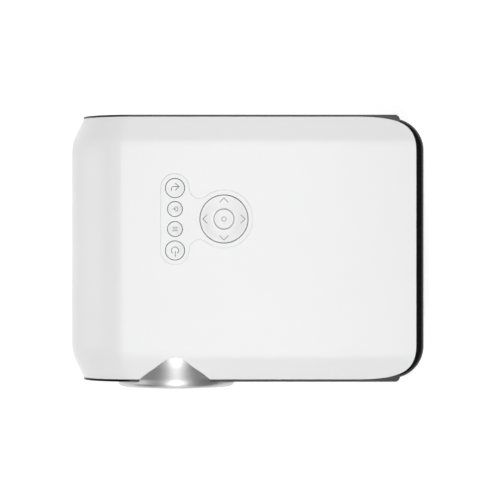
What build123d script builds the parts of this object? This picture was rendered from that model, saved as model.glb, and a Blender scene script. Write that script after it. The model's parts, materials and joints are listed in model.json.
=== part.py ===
from build123d import *
import math
import os

# Video projector with a disc player in its right side. Millimetres: +X to the right, +Y to the rear,
# +Z up. The origin is on the table under the middle of the case, and the lens looks along -Y.

# ---- case: a white sleeve round a black core ----
CASE_LEFT = -125.0
CASE_RIGHT = 125.0
CASE_BOTTOM = 7.0
CASE_TOP = 87.0
WALL = 2.4
MID_Z = (CASE_BOTTOM + CASE_TOP) / 2
HALF_HEIGHT = (CASE_TOP - CASE_BOTTOM) / 2
SEAM = 0.3                      # gap between two mouldings
FIT = 0.15                      # gap on each side where one moulding covers another

SLEEVE_RIGHT = 119.2
SLEEVE_FRONT = -89.8
SLEEVE_REAR = 94.6
LIP_LENGTH = 17.5               # ends of the sleeve that close in
LIP_DROP = 4.0
LIP_NOSE_IN = 8.5
LIP_BEND = 30.0
CORNER_ALONG_X = 42.0           # long soft corners on the right, seen from above
CORNER_ALONG_Y = 24.3
CORNER_FULLNESS = 0.76
OVERRUN = 3.0                   # cutting forms run this far past the ends
OVER_RIGHT = 140.0

CORE_FRONT = -89.3
CORE_REAR = 93.8
CORE_TOP = 84.4
CORE_BOTTOM = 9.6
CORE_CORNER = 22.8
CORE_SHOULDER = 6.0
PANEL_FRONT = -91.5
PANEL_REAR = 96.0
PANEL_THICK = 3.4
PANEL_RIM = 8.0
PANEL_RIGHT = 108.0
PANEL_END_ROUND = 3.5

# ---- lens, its axis along Y ----
LENS_X = -50.0
LENS_Z = 50.0
BEZEL_FRONT = -96.0
BEZEL_OUTLINE = [(33.9, -71.8), (36.3, -74.4), (36.7, -79.5), (38.5, -85.0), (41.0, -89.8), (41.4, -93.0)]
BEZEL_ROUND = 3.0
BEZEL_FUNNEL = [(37.9, -96.0), (34.5, -80.0), (32.4, -71.8)]
WELL_WALL = 2.0                 # cup of the front panel round the bezel
WELL_BACK = -69.5
WELL_SEAT = -71.5
BARREL_RADIUS = 27.2
BARREL_BORE = 24.2
BARREL_FRONT = -90.0
BARREL_BACK = -48.0
GLASS_FRONT = -74.0             # the barrel's inner lip, between the two glasses
GLASS_BACK = -62.0
GLASS_LIP = 2.2
GLASS_DOME = 96.0
GLASS_RIM = -80.0
REAR_GLASS_BACK = -54.0
KEY_TURNS = (90, 210, 330)      # three keys of the barrel run in slots of the fixed sleeve
KEY_HALF = 1.2
FOCUS_RADIUS = 31.0
FOCUS_BORE = 27.5
FOCUS_FRONT = -95.0
FOCUS_GRIP_BACK = -82.0
FOCUS_BACK = -74.0
FOCUS_FLUTES = 24
FLUTE_SIDE = 2.2                # grooves cut with one corner of a square bar
FLUTE_OUT = 0.6
LENS_SLEEVE_RADIUS = 29.2
LENS_SLEEVE_FRONT = -78.0
LENS_FLANGE_HALF = 32.0

# ---- keypad on the top ----
COLUMN_X = -49.7
RETURN_Y = 44.4
SOURCE_Y = 29.7
MENU_Y = 15.7
POWER_Y = 0.7
NAV_X = -15.4
NAV_Y = 22.7
BIG_KEY = 6.55
SMALL_KEY = 5.08
OK_KEY = 6.8
KEY_FLANGE = 1.2
KEY_FLANGE_LOW = 82.9
OK_FLANGE_LOW = 82.8
KEY_GAP = 0.4
KEY_PROUD = 0.5
KEY_STEM_HALF = 1.3
NAV_RADIUS = 16.6
NAV_HOLE = 17.1
NAV_BORE = 7.35
NAV_FALL = 0.9                  # how far the pad's face falls towards its middle
NAV_PIVOT_Z = 82.6
GIMBAL_RADIUS = 11.6
GIMBAL_BORE = 9.6
GIMBAL_PIN = 0.5
PIN_HOLE = 0.6
BRACKET_X = 12.9
PAD_LUG_Y = (12.2, 14.8)
PLATE_COLUMN_RADIUS = 9.95
PLATE_NAV_RADIUS = 20.35
PLATE_WAIST_RADIUS = 7.3
PLATE_THICK = 1.2
BOARD_THICK = 1.6
KEYPAD_BOARD_Z = 78.0
KEYPAD_BOARD = (-62.0, 3.0, -9.0, 55.0)
KEYPAD_POSTS = [(-60.0, -7.0), (-60.0, 53.0), (1.0, -7.0), (1.0, 53.0)]
SWITCH_TOP = 80.9
SWITCH_HALF = 3.0
SWITCH_WELL = 1.7

# ---- openings of the black panels ----
GRILLE_SLOTS = 18
GRILLE_START = 12.0
GRILLE_PITCH = 5.0
GRILLE_WIDTH = 3.0
GRILLE_LOW = 22.0
GRILLE_HIGH = 72.0
WINDOW_X = 2.0
WINDOW_Z = 60.0
WINDOW_RADIUS = 3.0
LOUVRES = 10
LOUVRE_LOW = 21.0
LOUVRE_PITCH = 5.8
LOUVRE_TILT = 25.0
LOUVRE_LENGTH = 58.0
LOUVRE_GAP = 3.0
SIDE_SLOTS = 14
SIDE_SLOT_START = -56.0
SIDE_SLOT_PITCH = 8.0
SIDE_SLOT_WIDTH = 3.0
SIDE_SLOT_LOW = 20.0
SIDE_SLOT_HIGH = 40.0
BAY_GAP = 0.4                   # round the tray's front

# ---- disc drive ----
DRIVE_LEFT = -6.0
DRIVE_RIGHT = 120.5
DRIVE_FRONT = -62.0
DRIVE_REAR = 66.0
DRIVE_BOTTOM = 49.0
DRIVE_TOP = 64.5
SHEET = 0.8
DISC_X = 59.5
DISC_Y = 2.0
DISC_RECESS = 60.6
SMALL_DISC_RECESS = 40.6
TRAY_LEFT = -4.0
TRAY_RIGHT = 121.4
TRAY_HALF_WIDTH = 61.2
TRAY_BOTTOM = 55.6
TRAY_TOP = 60.2
DISC_FLOOR = 57.6
DISC_SEAT = 59.0
HUB_RADIUS = 7.35
TRAY_BEZEL_HALF_WIDTH = 64.8
TRAY_BEZEL_BOTTOM = 49.6
TRAY_BEZEL_TOP = 64.1
TRAY_BEZEL_THICK = 3.6
HUB_OPENING = 14.0              # in the tray, with the pickup's slot running inwards from it
PICKUP_HALF = 13.0
TRAVERSE_LEFT = -3.8
TRAVERSE_WINDOW_RIGHT = 46.5
TRAVERSE_RIGHT = 74.0
TRAVERSE_REAR = 26.0
TRAVERSE_LOW = 51.0
RAIL_THICK = 1.2
RAIL_LOW = 53.0
RAIL_HIGH = 59.0
SLED_HALF = 8.0
SLED_LOW = 52.6
SLED_FROM_HUB = 24.0
SPINDLE_RADIUS = 11.0
ROD_RADIUS = 1.0
ROD_HALF_PITCH = 19.0
ROD_Z = 54.2
SCREW_LINE_Y = -26.0
SCREW_LINE_Z = 52.8
LEAD_SCREW_RADIUS = 0.9
SLED_MOTOR_RADIUS = 2.4
EJECT_Y = -44.0
EJECT_HALF = 7.0
EJECT_LOW = 52.5
EJECT_HIGH = 55.5
RELEASE_HOLE_Y = -28.0          # pin hole that frees a stuck tray

# ---- optical engine and fan ----
ENGINE_LEFT = -92.0
ENGINE_RIGHT = -8.0
ENGINE_FRONT = -43.0
ENGINE_REAR = 50.0
ENGINE_BOTTOM = 14.0
ENGINE_TOP = 70.0
ENGINE_WALL = 2.5
LIGHT_PORT = 18.5
FIRST_FRESNEL_Y = -2.0          # sheets stand in grooves across the light path
LCD_Y = 6.0
SECOND_FRESNEL_Y = 16.0
CONDENSER_Y = 30.0
LAMP_Z = 46.0
LAMP_BOARD = (-74.0, -26.0, 25.0, 67.0)
SINK = (-80.0, -20.0, 17.0, 73.0)
SINK_FINS = 13
SINK_FIN_PITCH = 4.9
SINK_FIN_THICK = 1.2
SINK_BASE = (50.1, 54.0)
SINK_BACK = 72.0
FAN_X = -50.0
FAN_Z = 47.0
FAN_FRONT = 73.0
FAN_DEPTH = 14.0
FAN_HALF = 30.0
FAN_BORE = 28.5
FAN_HUB = 12.0
FAN_BLADES = 7
BLADE_PITCH = 38.0
STRUT_TURNS = (30, 150, 270)
STRUT_THICK = 1.6

# ---- underside ----
INSIDE_FLOOR = CASE_BOTTOM + WALL
FEET = [(-76.0, -62.0), (96.0, -62.0), (-76.0, 74.0), (96.0, 74.0)]
FOOT_RADIUS = 8.0
LEVEL_X = 2.0
LEVEL_Y = -72.0
STUD_RADIUS = 3.0
KNOB_RADIUS = 9.5
KNOB_FLUTES = 12
CASE_SCREWS = [(-104.0, -50.0), (-104.0, 58.0), (103.0, -77.0), (103.0, 78.0)]
BOSS_RADIUS = 3.5
DRIVE_EARS = [(56.0, DRIVE_FRONT), (100.0, DRIVE_FRONT), (2.0, DRIVE_REAR), (100.0, DRIVE_REAR)]
CASE_SCREW_Z = MID_Z - 8.0
CASE_SCREW_HEAD = 2.6
CASE_SCREW_SHANK = 1.25
VENT_WIDTH = 2.4
VENT_PITCH = 6.0
FAN_VENTS = (8, -44.0, 54.0, 84.0)       # count, middle x, and from y to y
POWER_VENTS = (9, 52.0, -44.0, -14.0)
POST_HALF = 2.5
MAIN_BOARD_Z = 20.0
SOCKET_BOTTOM = MAIN_BOARD_Z + BOARD_THICK
MAIN_BOARD = (6.0, 94.0, 16.0, 88.0)
POWER_BOARD = (10.0, 100.0, -58.0, 6.0)
MAIN_CHIPS = [(30, 54, 30, 54, 4.0), (60, 74, 30, 40, 1.2), (60, 74, 44, 54, 1.2), (80, 88, 40, 48, 5.0)]
SOCKETS = [(14.0, 15.4, 6.0), (34.0, 15.4, 6.0), (52.0, 14.2, 6.6)]      # middle x, width, height
JACKS_X = [66.0, 76.0, 86.0]
JACK_RADIUS = 3.2
JACK_BORE = 1.8
JACK_UP = 4.0
SOCKET_FIT = 0.2
MAIN_BOARD_POSTS = [(12.0, 22.0), (88.0, 22.0), (12.0, 66.0), (88.0, 66.0)]
POWER_BOARD_POSTS = [(16.0, -52.0), (94.0, -52.0), (16.0, 0.0), (94.0, 0.0)]
ENGINE_POSTS = [(-86.0, -37.0), (-14.0, -37.0), (-86.0, 44.0), (-14.0, 44.0)]
SPEAKERS_X = [32.0, 80.0]
SPEAKER_Z = 47.0
SPEAKER_HALF = (20.0, 22.0)
CONE_RADIUS = 16.2
BASKET_RADIUS = 17.6
MAGNET_RADIUS = 11.0
INLET_X = 80.0
INLET_Z = 44.0
INLET_HALF = (13.0, 9.0)
INLET_WELL_FRONT = 82.0
PIN_SPACING = 4.3               # half the distance between the pins, and the well's round ends
PIN_RADIUS = 1.2


# ---- simple forms ----
def block(x0, x1, y0, y1, z0, z1):
    """Block given by its low and high sides."""
    middle = Pos((x0 + x1) / 2, (y0 + y1) / 2, (z0 + z1) / 2)
    return middle * Box(x1 - x0, y1 - y0, z1 - z0)


def rod_x(y, z, x0, x1, radius):
    """Round rod along X."""
    return Pos((x0 + x1) / 2, y, z) * Rot(0, 90, 0) * Cylinder(radius, x1 - x0)


def rod_y(x, z, y0, y1, radius):
    """Round rod along Y."""
    return Pos(x, (y0 + y1) / 2, z) * Rot(90, 0, 0) * Cylinder(radius, y1 - y0)


def rod_z(x, y, z0, z1, radius):
    """Upright round rod."""
    return Pos(x, y, (z0 + z1) / 2) * Cylinder(radius, z1 - z0)


def turned_y(outline, x, z):
    """Turned form about a line along Y; the outline is a loop of (radius, y) points."""
    plane = Plane(origin=(x, 0, z), x_dir=(1, 0, 0), z_dir=(0, 0, 1))
    face = plane * make_face(Polyline(*outline, close=True))
    return revolve(face, Axis((x, 0, z), (0, 1, 0)))


def turned_z(outline, x, y):
    """Turned form about an upright line; the outline is a loop of (radius, z) points."""
    plane = Plane(origin=(x, y, 0), x_dir=(1, 0, 0), z_dir=(0, -1, 0))
    face = plane * make_face(Polyline(*outline, close=True))
    return revolve(face, Axis((x, y, 0), (0, 0, 1)))


def joined(solids):
    """Group of separate solids as one compound."""
    return Compound(children=list(solids))


# ---- the sleeve and what fits in it ----
def across(y, nose_left, half_height, right=OVER_RIGHT):
    """Face across the case at y: flat top and bottom, half-round nose on the left."""
    top = MID_Z + half_height
    bottom = MID_Z - half_height
    nose_middle = nose_left + half_height
    plane = Plane(origin=(0, y, 0), x_dir=(1, 0, 0), z_dir=(0, -1, 0))
    edges = [
        Line((right, top), (nose_middle, top)),
        ThreePointArc((nose_middle, top), (nose_left, MID_Z), (nose_middle, bottom)),
        Line((nose_middle, bottom), (right, bottom)),
        Line((right, bottom), (right, top)),
    ]
    return plane * make_face(edges)


def sleeve_body(grow):
    """Solid form of the sleeve, offset by grow: straight in the middle, closing in at both ends."""
    bend_front = SLEEVE_FRONT + LIP_LENGTH
    bend_rear = SLEEVE_REAR - LIP_LENGTH
    overrun_share = (LIP_LENGTH + OVERRUN) / LIP_LENGTH
    end_nose = CASE_LEFT + LIP_NOSE_IN * overrun_share - grow
    end_half = HALF_HEIGHT - LIP_DROP * overrun_share + grow
    front_end = across(SLEEVE_FRONT - OVERRUN, end_nose, end_half)
    front_bend = across(bend_front, CASE_LEFT - grow, HALF_HEIGHT + grow)
    rear_bend = across(bend_rear, CASE_LEFT - grow, HALF_HEIGHT + grow)
    rear_end = across(SLEEVE_REAR + OVERRUN, end_nose, end_half)
    middle = extrude(rear_bend, amount=bend_rear - bend_front)
    body = middle + loft([front_end, front_bend], ruled=True) + loft([rear_bend, rear_end], ruled=True)
    body = body.clean()
    creases = []
    for edge in body.edges():
        flat = edge.bounding_box().size.Y < 1e-4
        at_bend = min(abs(edge.center().Y - bend_front), abs(edge.center().Y - bend_rear)) < 1e-3
        if flat and at_bend and edge.center().X < OVER_RIGHT - 1:
            creases.append(edge)
    return fillet(creases, LIP_BEND + grow)


def plan_trim(grow):
    """Upright prism of the sleeve's outline from above, with long soft corners on the right."""
    left = CASE_LEFT - 10
    right = SLEEVE_RIGHT + grow
    front = SLEEVE_FRONT - grow
    rear = SLEEVE_REAR + grow
    corner_x = right - CORNER_ALONG_X
    handle_x = corner_x + CORNER_FULLNESS * CORNER_ALONG_X
    handle_y = (1 - CORNER_FULLNESS) * CORNER_ALONG_Y
    front_y = front + CORNER_ALONG_Y
    rear_y = rear - CORNER_ALONG_Y
    outline = [
        Line((left, front), (corner_x, front)),
        Bezier((corner_x, front), (handle_x, front), (right, front + handle_y), (right, front_y)),
        Line((right, front_y), (right, rear_y)),
        Bezier((right, rear_y), (right, rear - handle_y), (handle_x, rear), (corner_x, rear)),
        Line((corner_x, rear), (left, rear)),
        Line((left, rear), (left, front)),
    ]
    return extrude(make_face(outline), amount=110)


def core_body(inset):
    """Black core, inset all round: a rounded rectangle from above with soft shoulders."""
    length = CORE_REAR - CORE_FRONT - 2 * inset
    width = 120.0
    middle_y = (CORE_FRONT + CORE_REAR) / 2
    bottom = CORE_BOTTOM + inset
    plan = RectangleRounded(width, length, CORE_CORNER - inset)
    height = CORE_TOP - CORE_BOTTOM - 2 * inset
    body = Pos(CASE_RIGHT - inset - width / 2, middle_y, bottom) * extrude(plan, amount=height)
    rims = body.faces().filter_by(Axis.Z).edges()
    return chamfer(rims, WALL) if inset else fillet(rims, CORE_SHOULDER)


SLEEVE_INSIDE = sleeve_body(-WALL)
SLEEVE_REACH = sleeve_body(-WALL - FIT)
COVERED = plan_trim(FIT) - SLEEVE_REACH


def sleeve_shell():
    """The whole sleeve before it is parted into two covers."""
    return (sleeve_body(0) & plan_trim(0)) - SLEEVE_INSIDE


def bezel_clearance(back):
    """Room for the lens bezel, from its back face forwards."""
    widened = [(radius + SEAM, y) for radius, y in BEZEL_OUTLINE]
    start = [(0, back), (widened[0][0], back)]
    end = [(widened[-1][0], BEZEL_FRONT - 10), (0, BEZEL_FRONT - 10)]
    return turned_y(start + widened[1:] + end, LENS_X, LENS_Z)


def notch_cutter():
    """Room for the bezel in the covers; its back is a steep cone, so no thin skin is left."""
    shoulder, shoulder_y = BEZEL_OUTLINE[1]
    back = shoulder_y + 4.0
    steep = [(0, back), (shoulder - 2.5, back), (shoulder + 0.1, back - 2.6), (shoulder + 0.5, back - 4.2)]
    widened = [(radius + SEAM, y) for radius, y in BEZEL_OUTLINE[2:]]
    end = [(widened[-1][0], BEZEL_FRONT - 10), (0, BEZEL_FRONT - 10)]
    return turned_y(steep + widened + end, LENS_X, LENS_Z)


def keypad_outline(grow):
    """Outline of the keypad plate: a column and a disc joined by a waist with two hollow arcs."""
    column_r = PLATE_COLUMN_RADIUS + grow
    nav_r = PLATE_NAV_RADIUS + grow
    waist_r = PLATE_WAIST_RADIUS - grow
    left = COLUMN_X - column_r
    right = COLUMN_X + column_r
    waist_x = right + waist_r
    reach_x = NAV_X - waist_x
    reach_y = math.sqrt((nav_r + waist_r) ** 2 - reach_x ** 2)
    share = nav_r / (nav_r + waist_r)
    touch_x = NAV_X - reach_x * share
    touch_up = NAV_Y + reach_y * share
    touch_down = NAV_Y - reach_y * share
    upper = NAV_Y + reach_y
    lower = NAV_Y - reach_y
    mid_turn = math.radians((180 + 360 - math.degrees(math.atan2(reach_y, reach_x))) / 2)
    hollow_x = waist_x + waist_r * math.cos(mid_turn)
    hollow_up = upper + waist_r * math.sin(mid_turn)
    hollow_down = lower - waist_r * math.sin(mid_turn)
    top_y = max(RETURN_Y, upper)
    bottom_y = min(POWER_Y, lower)
    edges = [
        ThreePointArc((left, top_y), (COLUMN_X, top_y + column_r), (right, top_y)),
        ThreePointArc((right, upper), (hollow_x, hollow_up), (touch_x, touch_up)),
        ThreePointArc((touch_x, touch_up), (NAV_X + nav_r, NAV_Y), (touch_x, touch_down)),
        ThreePointArc((touch_x, touch_down), (hollow_x, hollow_down), (right, lower)),
        ThreePointArc((right, bottom_y), (COLUMN_X, bottom_y - column_r), (left, bottom_y)),
    ]
    sides = [
        ((right, top_y), (right, upper)),
        ((right, lower), (right, bottom_y)),
        ((left, bottom_y), (left, top_y)),
    ]
    edges += [Line(start, end) for start, end in sides if math.dist(start, end) > 1e-4]
    return make_face(edges)


def column_keys():
    """Place and cap radius of the four round keys, from the rear to the front."""
    return [
        (COLUMN_X, RETURN_Y, BIG_KEY),
        (COLUMN_X, SOURCE_Y, SMALL_KEY),
        (COLUMN_X, MENU_Y, SMALL_KEY),
        (COLUMN_X, POWER_Y, BIG_KEY),
    ]


def key_holes():
    """Room for the keys and the direction pad through plate and cover."""
    holes = [rod_z(x, y, 80, 90, radius + KEY_GAP) for x, y, radius in column_keys()]
    holes.append(rod_z(NAV_X, NAV_Y, 80, 90, NAV_HOLE))
    return joined(holes)


# ---- case pieces ----
def top_cover():
    """Upper half of the sleeve, with the keypad pocket, the lens notch and screw bosses."""
    half = block(CASE_LEFT - 5, OVER_RIGHT, -100, 100, MID_Z + SEAM / 2, CASE_TOP + 10)
    cover = sleeve_shell() & half
    for x, y in CASE_SCREWS:
        cover += rod_z(x, y, MID_Z + SEAM / 2, CASE_TOP - WALL / 2, BOSS_RADIUS) & sleeve_body(-WALL / 2)
    post_z = KEYPAD_BOARD_Z + BOARD_THICK
    for x, y in KEYPAD_POSTS:
        cover += block(x - 2, x + 2, y - 2, y + 2, post_z, CASE_TOP - WALL / 2)
    pocket = Pos(0, 0, CASE_TOP - PLATE_THICK) * extrude(keypad_outline(0.1), amount=5)
    cover -= pocket
    cover -= key_holes()
    for x, y in CASE_SCREWS:
        cover -= rod_z(x, y, MID_Z - 1, MID_Z + 16, 1.3)
    return cover - notch_cutter()


def vent_slots(count, x, y0, y1):
    """Row of floor slots along X, each running along Y."""
    start = x - VENT_PITCH * (count - 1) / 2 - VENT_WIDTH / 2
    slots = []
    for number in range(count):
        slot_x = start + number * VENT_PITCH
        slots.append(block(slot_x, slot_x + VENT_WIDTH, y0, y1, CASE_BOTTOM - 1, INSIDE_FLOOR + 1))
    return joined(slots)


def bottom_cover():
    """Lower half of the sleeve, with bosses, posts for the inner units and the feet's seats."""
    half = block(CASE_LEFT - 5, OVER_RIGHT, -100, 100, CASE_BOTTOM - 5, MID_Z - SEAM / 2)
    cover = sleeve_shell() & half
    floor = CASE_BOTTOM + WALL / 2
    inside = sleeve_body(-WALL / 2)
    for x, y in CASE_SCREWS:
        cover += rod_z(x, y, floor - 5, MID_Z - SEAM / 2, BOSS_RADIUS) & inside
    posts = [(x, y, MAIN_BOARD_Z) for x, y in MAIN_BOARD_POSTS]
    posts += [(x, y, MAIN_BOARD_Z) for x, y in POWER_BOARD_POSTS]
    posts += [(x, y, ENGINE_BOTTOM) for x, y in ENGINE_POSTS]
    for x, y, height in posts:
        cover += block(x - POST_HALF, x + POST_HALF, y - POST_HALF, y + POST_HALF, floor, height)
    for x, edge in DRIVE_EARS:
        y = ear_middle(edge)
        cover += block(x - 3, x + 3, y - 3, y + 3, floor, DRIVE_BOTTOM)
    cover += rod_z(LEVEL_X, LEVEL_Y, floor, 20, 6.4)
    cover += rod_z(0, 0, floor, 20, 7.0)
    cover -= rod_z(LEVEL_X, LEVEL_Y, CASE_BOTTOM - 1, 21, 4.55)
    cover -= rod_z(0, 0, CASE_BOTTOM - 1, 21, 5.05)
    for x, y in CASE_SCREWS:
        cover -= rod_z(x, y, CASE_BOTTOM - 1, CASE_SCREW_Z, CASE_SCREW_HEAD + 0.3)
        cover -= rod_z(x, y, CASE_SCREW_Z - 1, MID_Z, CASE_SCREW_SHANK + 0.45)
    for x, y in FEET:
        cover -= rod_z(x, y, CASE_BOTTOM - 1, CASE_BOTTOM + 1, FOOT_RADIUS + 0.2)
    return cover - vent_slots(*FAN_VENTS) - vent_slots(*POWER_VENTS) - notch_cutter()


def panel_blank(face_y, inward):
    """End plate with a rim reaching into the sleeve, before its openings are cut."""
    half = HALF_HEIGHT - LIP_DROP
    nose = CASE_LEFT + LIP_NOSE_IN
    outer = extrude(across(face_y, nose, half, PANEL_RIGHT), dir=(0, inward, 0), amount=PANEL_RIM)
    corner = outer.edges().filter_by(Axis.Z).filter_by(lambda e: abs(e.center().Y - face_y) < 1e-3)
    outer = fillet(corner, PANEL_END_ROUND)
    rim = 2 * WALL
    hollow = across(face_y + inward * PANEL_THICK, nose + rim, half - rim, PANEL_RIGHT - rim)
    return outer - extrude(hollow, dir=(0, inward, 0), amount=PANEL_RIM)


def lens_well():
    """Cup round the lens bezel, closed behind it by a ring, so the front panel is one piece."""
    grow = SEAM + WELL_WALL
    wall = [(radius + grow, y) for radius, y in BEZEL_OUTLINE[1:-1]]
    start = [(0, WELL_BACK), (wall[0][0], WELL_BACK)]
    end = [(BEZEL_OUTLINE[-1][0] + grow, PANEL_FRONT), (0, PANEL_FRONT)]
    return turned_y(start + wall + end, LENS_X, LENS_Z) & SLEEVE_REACH


def front_panel():
    """Black front: speaker grille slats, lens well and a round window for the remote control."""
    panel = panel_blank(PANEL_FRONT, 1) + lens_well()
    panel -= COVERED
    panel -= bezel_clearance(WELL_SEAT)
    panel -= rod_y(LENS_X, LENS_Z, WELL_SEAT - 3, WELL_BACK + 3, FOCUS_RADIUS)
    front = PANEL_FRONT - 1
    behind = PANEL_FRONT + PANEL_THICK + 1
    for number in range(GRILLE_SLOTS):
        x = GRILLE_START + number * GRILLE_PITCH
        panel -= block(x, x + GRILLE_WIDTH, front, behind, GRILLE_LOW, GRILLE_HIGH)
    return panel - rod_y(WINDOW_X, WINDOW_Z, front, behind, WINDOW_RADIUS + 0.1)


def rear_panel():
    """Black rear: louvres behind the fan, socket openings and the mains inlet's opening."""
    panel = panel_blank(PANEL_REAR, -1) - COVERED
    for number in range(LOUVRES):
        middle = Pos(FAN_X, PANEL_REAR - 2, LOUVRE_LOW + number * LOUVRE_PITCH)
        panel -= middle * Rot(LOUVRE_TILT, 0, 0) * Box(LOUVRE_LENGTH, 4 * PANEL_THICK, LOUVRE_GAP)
    near = PANEL_REAR - PANEL_RIM - 1
    far = PANEL_REAR + 1
    low = SOCKET_BOTTOM - SOCKET_FIT
    for x, width, height in SOCKETS:
        half = width / 2 + SOCKET_FIT
        panel -= block(x - half, x + half, near, far, low, SOCKET_BOTTOM + height + SOCKET_FIT)
    for x in JACKS_X:
        panel -= rod_y(x, SOCKET_BOTTOM + JACK_UP, near, far, JACK_RADIUS + SOCKET_FIT)
    half_x, half_z = [half + SOCKET_FIT for half in INLET_HALF]
    return panel - block(INLET_X - half_x, INLET_X + half_x, near, far, INLET_Z - half_z, INLET_Z + half_z)


def side_panel():
    """Black right side: a curved hollow shell with the tray's opening and air slots below it."""
    keep = block(PANEL_RIGHT + SEAM, CASE_RIGHT + 5, -100, 100, 0, 100)
    panel = (core_body(0) - core_body(WALL)) & keep
    panel -= COVERED
    near = CASE_RIGHT - 3 * WALL
    far = CASE_RIGHT + 1
    bay_half = TRAY_BEZEL_HALF_WIDTH + BAY_GAP
    low = TRAY_BEZEL_BOTTOM - BAY_GAP
    panel -= block(near, far, DISC_Y - bay_half, DISC_Y + bay_half, low, TRAY_BEZEL_TOP + BAY_GAP)
    for number in range(SIDE_SLOTS):
        y = SIDE_SLOT_START + number * SIDE_SLOT_PITCH
        panel -= block(near, far, y, y + SIDE_SLOT_WIDTH, SIDE_SLOT_LOW, SIDE_SLOT_HIGH)
    return panel


# ---- lens ----
def lens_bezel():
    """Flared silver ring in front of the lens: round front rim, cone outside, funnel inside."""
    rim_r, rim_y = BEZEL_OUTLINE[-1]
    middle_r = rim_r - BEZEL_ROUND
    slant = BEZEL_ROUND * math.sqrt(0.5)
    plane = Plane(origin=(LENS_X, 0, LENS_Z), x_dir=(1, 0, 0), z_dir=(0, 0, 1))
    edges = [
        Polyline(*BEZEL_OUTLINE),
        ThreePointArc((rim_r, rim_y), (middle_r + slant, rim_y - slant), (middle_r, BEZEL_FRONT)),
        Polyline((middle_r, BEZEL_FRONT), *BEZEL_FUNNEL, BEZEL_OUTLINE[0]),
    ]
    return revolve(plane * make_face(edges), Axis((LENS_X, 0, LENS_Z), (0, 1, 0)))


def focus_ring():
    """Fluted ring round the front of the barrel, with a skirt over the fixed lens sleeve."""
    skirt = FOCUS_RADIUS - 0.4
    skirt_bore = LENS_SLEEVE_RADIUS + SEAM
    outline = [
        (FOCUS_BORE, FOCUS_FRONT), (FOCUS_RADIUS, FOCUS_FRONT), (FOCUS_RADIUS, FOCUS_GRIP_BACK),
        (skirt, FOCUS_GRIP_BACK), (skirt, FOCUS_BACK), (skirt_bore, FOCUS_BACK),
        (skirt_bore, LENS_SLEEVE_FRONT - SEAM), (FOCUS_BORE, LENS_SLEEVE_FRONT - SEAM),
    ]
    ring = turned_y(outline, LENS_X, LENS_Z)
    for number in range(FOCUS_FLUTES):
        turn = Pos(LENS_X, 0, LENS_Z) * Rot(0, number * 360 / FOCUS_FLUTES, 0)
        bar = Rot(0, 45, 0) * Box(FLUTE_SIDE, 9, FLUTE_SIDE)
        groove = Pos(FOCUS_RADIUS + FLUTE_OUT, FOCUS_GRIP_BACK - 5.5, 0) * bar
        ring -= turn * groove
    return ring


def lens_sleeve():
    """Fixed tube that the barrel slides in, with a square flange on the engine and three slots."""
    outline = [
        (FOCUS_BORE, LENS_SLEEVE_FRONT), (LENS_SLEEVE_RADIUS, LENS_SLEEVE_FRONT),
        (LENS_SLEEVE_RADIUS, ENGINE_FRONT - 1), (FOCUS_BORE, ENGINE_FRONT - 1),
    ]
    half = LENS_FLANGE_HALF
    flange = block(LENS_X - half, LENS_X + half, ENGINE_FRONT - 3, ENGINE_FRONT, LENS_Z - half, LENS_Z + 18)
    flange -= rod_y(LENS_X, LENS_Z, -50, -40, FOCUS_BORE)
    sleeve = turned_y(outline, LENS_X, LENS_Z) + flange
    slot_half = KEY_HALF + SEAM
    for turn in KEY_TURNS:
        slot = Rot(0, turn, 0) * block(25, 32, -76, -56, -slot_half, slot_half)
        sleeve -= Pos(LENS_X, 0, LENS_Z) * slot
    return sleeve


def lens_barrel():
    """Barrel that carries the glass, with three keys that run in the fixed sleeve's slots."""
    lip = BARREL_BORE - GLASS_LIP
    outline = [
        (BARREL_BORE, BARREL_FRONT), (BARREL_RADIUS, BARREL_FRONT), (BARREL_RADIUS, BARREL_BACK),
        (BARREL_BORE, BARREL_BACK), (BARREL_BORE, GLASS_BACK), (lip, GLASS_BACK),
        (lip, GLASS_FRONT), (BARREL_BORE, GLASS_FRONT),
    ]
    barrel = turned_y(outline, LENS_X, LENS_Z)
    for turn in KEY_TURNS:
        key = block(BARREL_RADIUS - 0.7, BARREL_RADIUS + 1.4, -69, -63, -KEY_HALF, KEY_HALF)
        barrel += Pos(LENS_X, 0, LENS_Z) * Rot(0, turn, 0) * key
    return barrel


def lens_elements():
    """Front glass, domed outwards, and rear glass, each resting on the barrel's inner lip."""
    radius = BARREL_BORE - 0.05
    rise = GLASS_DOME - math.sqrt(GLASS_DOME ** 2 - radius ** 2)
    plane = Plane(origin=(LENS_X, 0, LENS_Z), x_dir=(1, 0, 0), z_dir=(0, 0, 1))
    half = radius / 2
    half_rise = rise - (GLASS_DOME - math.sqrt(GLASS_DOME ** 2 - half ** 2))
    front = make_face([
        Line((0, GLASS_FRONT), (radius, GLASS_FRONT)),
        Line((radius, GLASS_FRONT), (radius, GLASS_RIM)),
        ThreePointArc((radius, GLASS_RIM), (half, GLASS_RIM - half_rise), (0, GLASS_RIM - rise)),
        Line((0, GLASS_RIM - rise), (0, GLASS_FRONT)),
    ])
    front = revolve(plane * front, Axis((LENS_X, 0, LENS_Z), (0, 1, 0)))
    rear = rod_y(LENS_X, LENS_Z, GLASS_BACK, REAR_GLASS_BACK, radius)
    return joined([front, rear])


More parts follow.
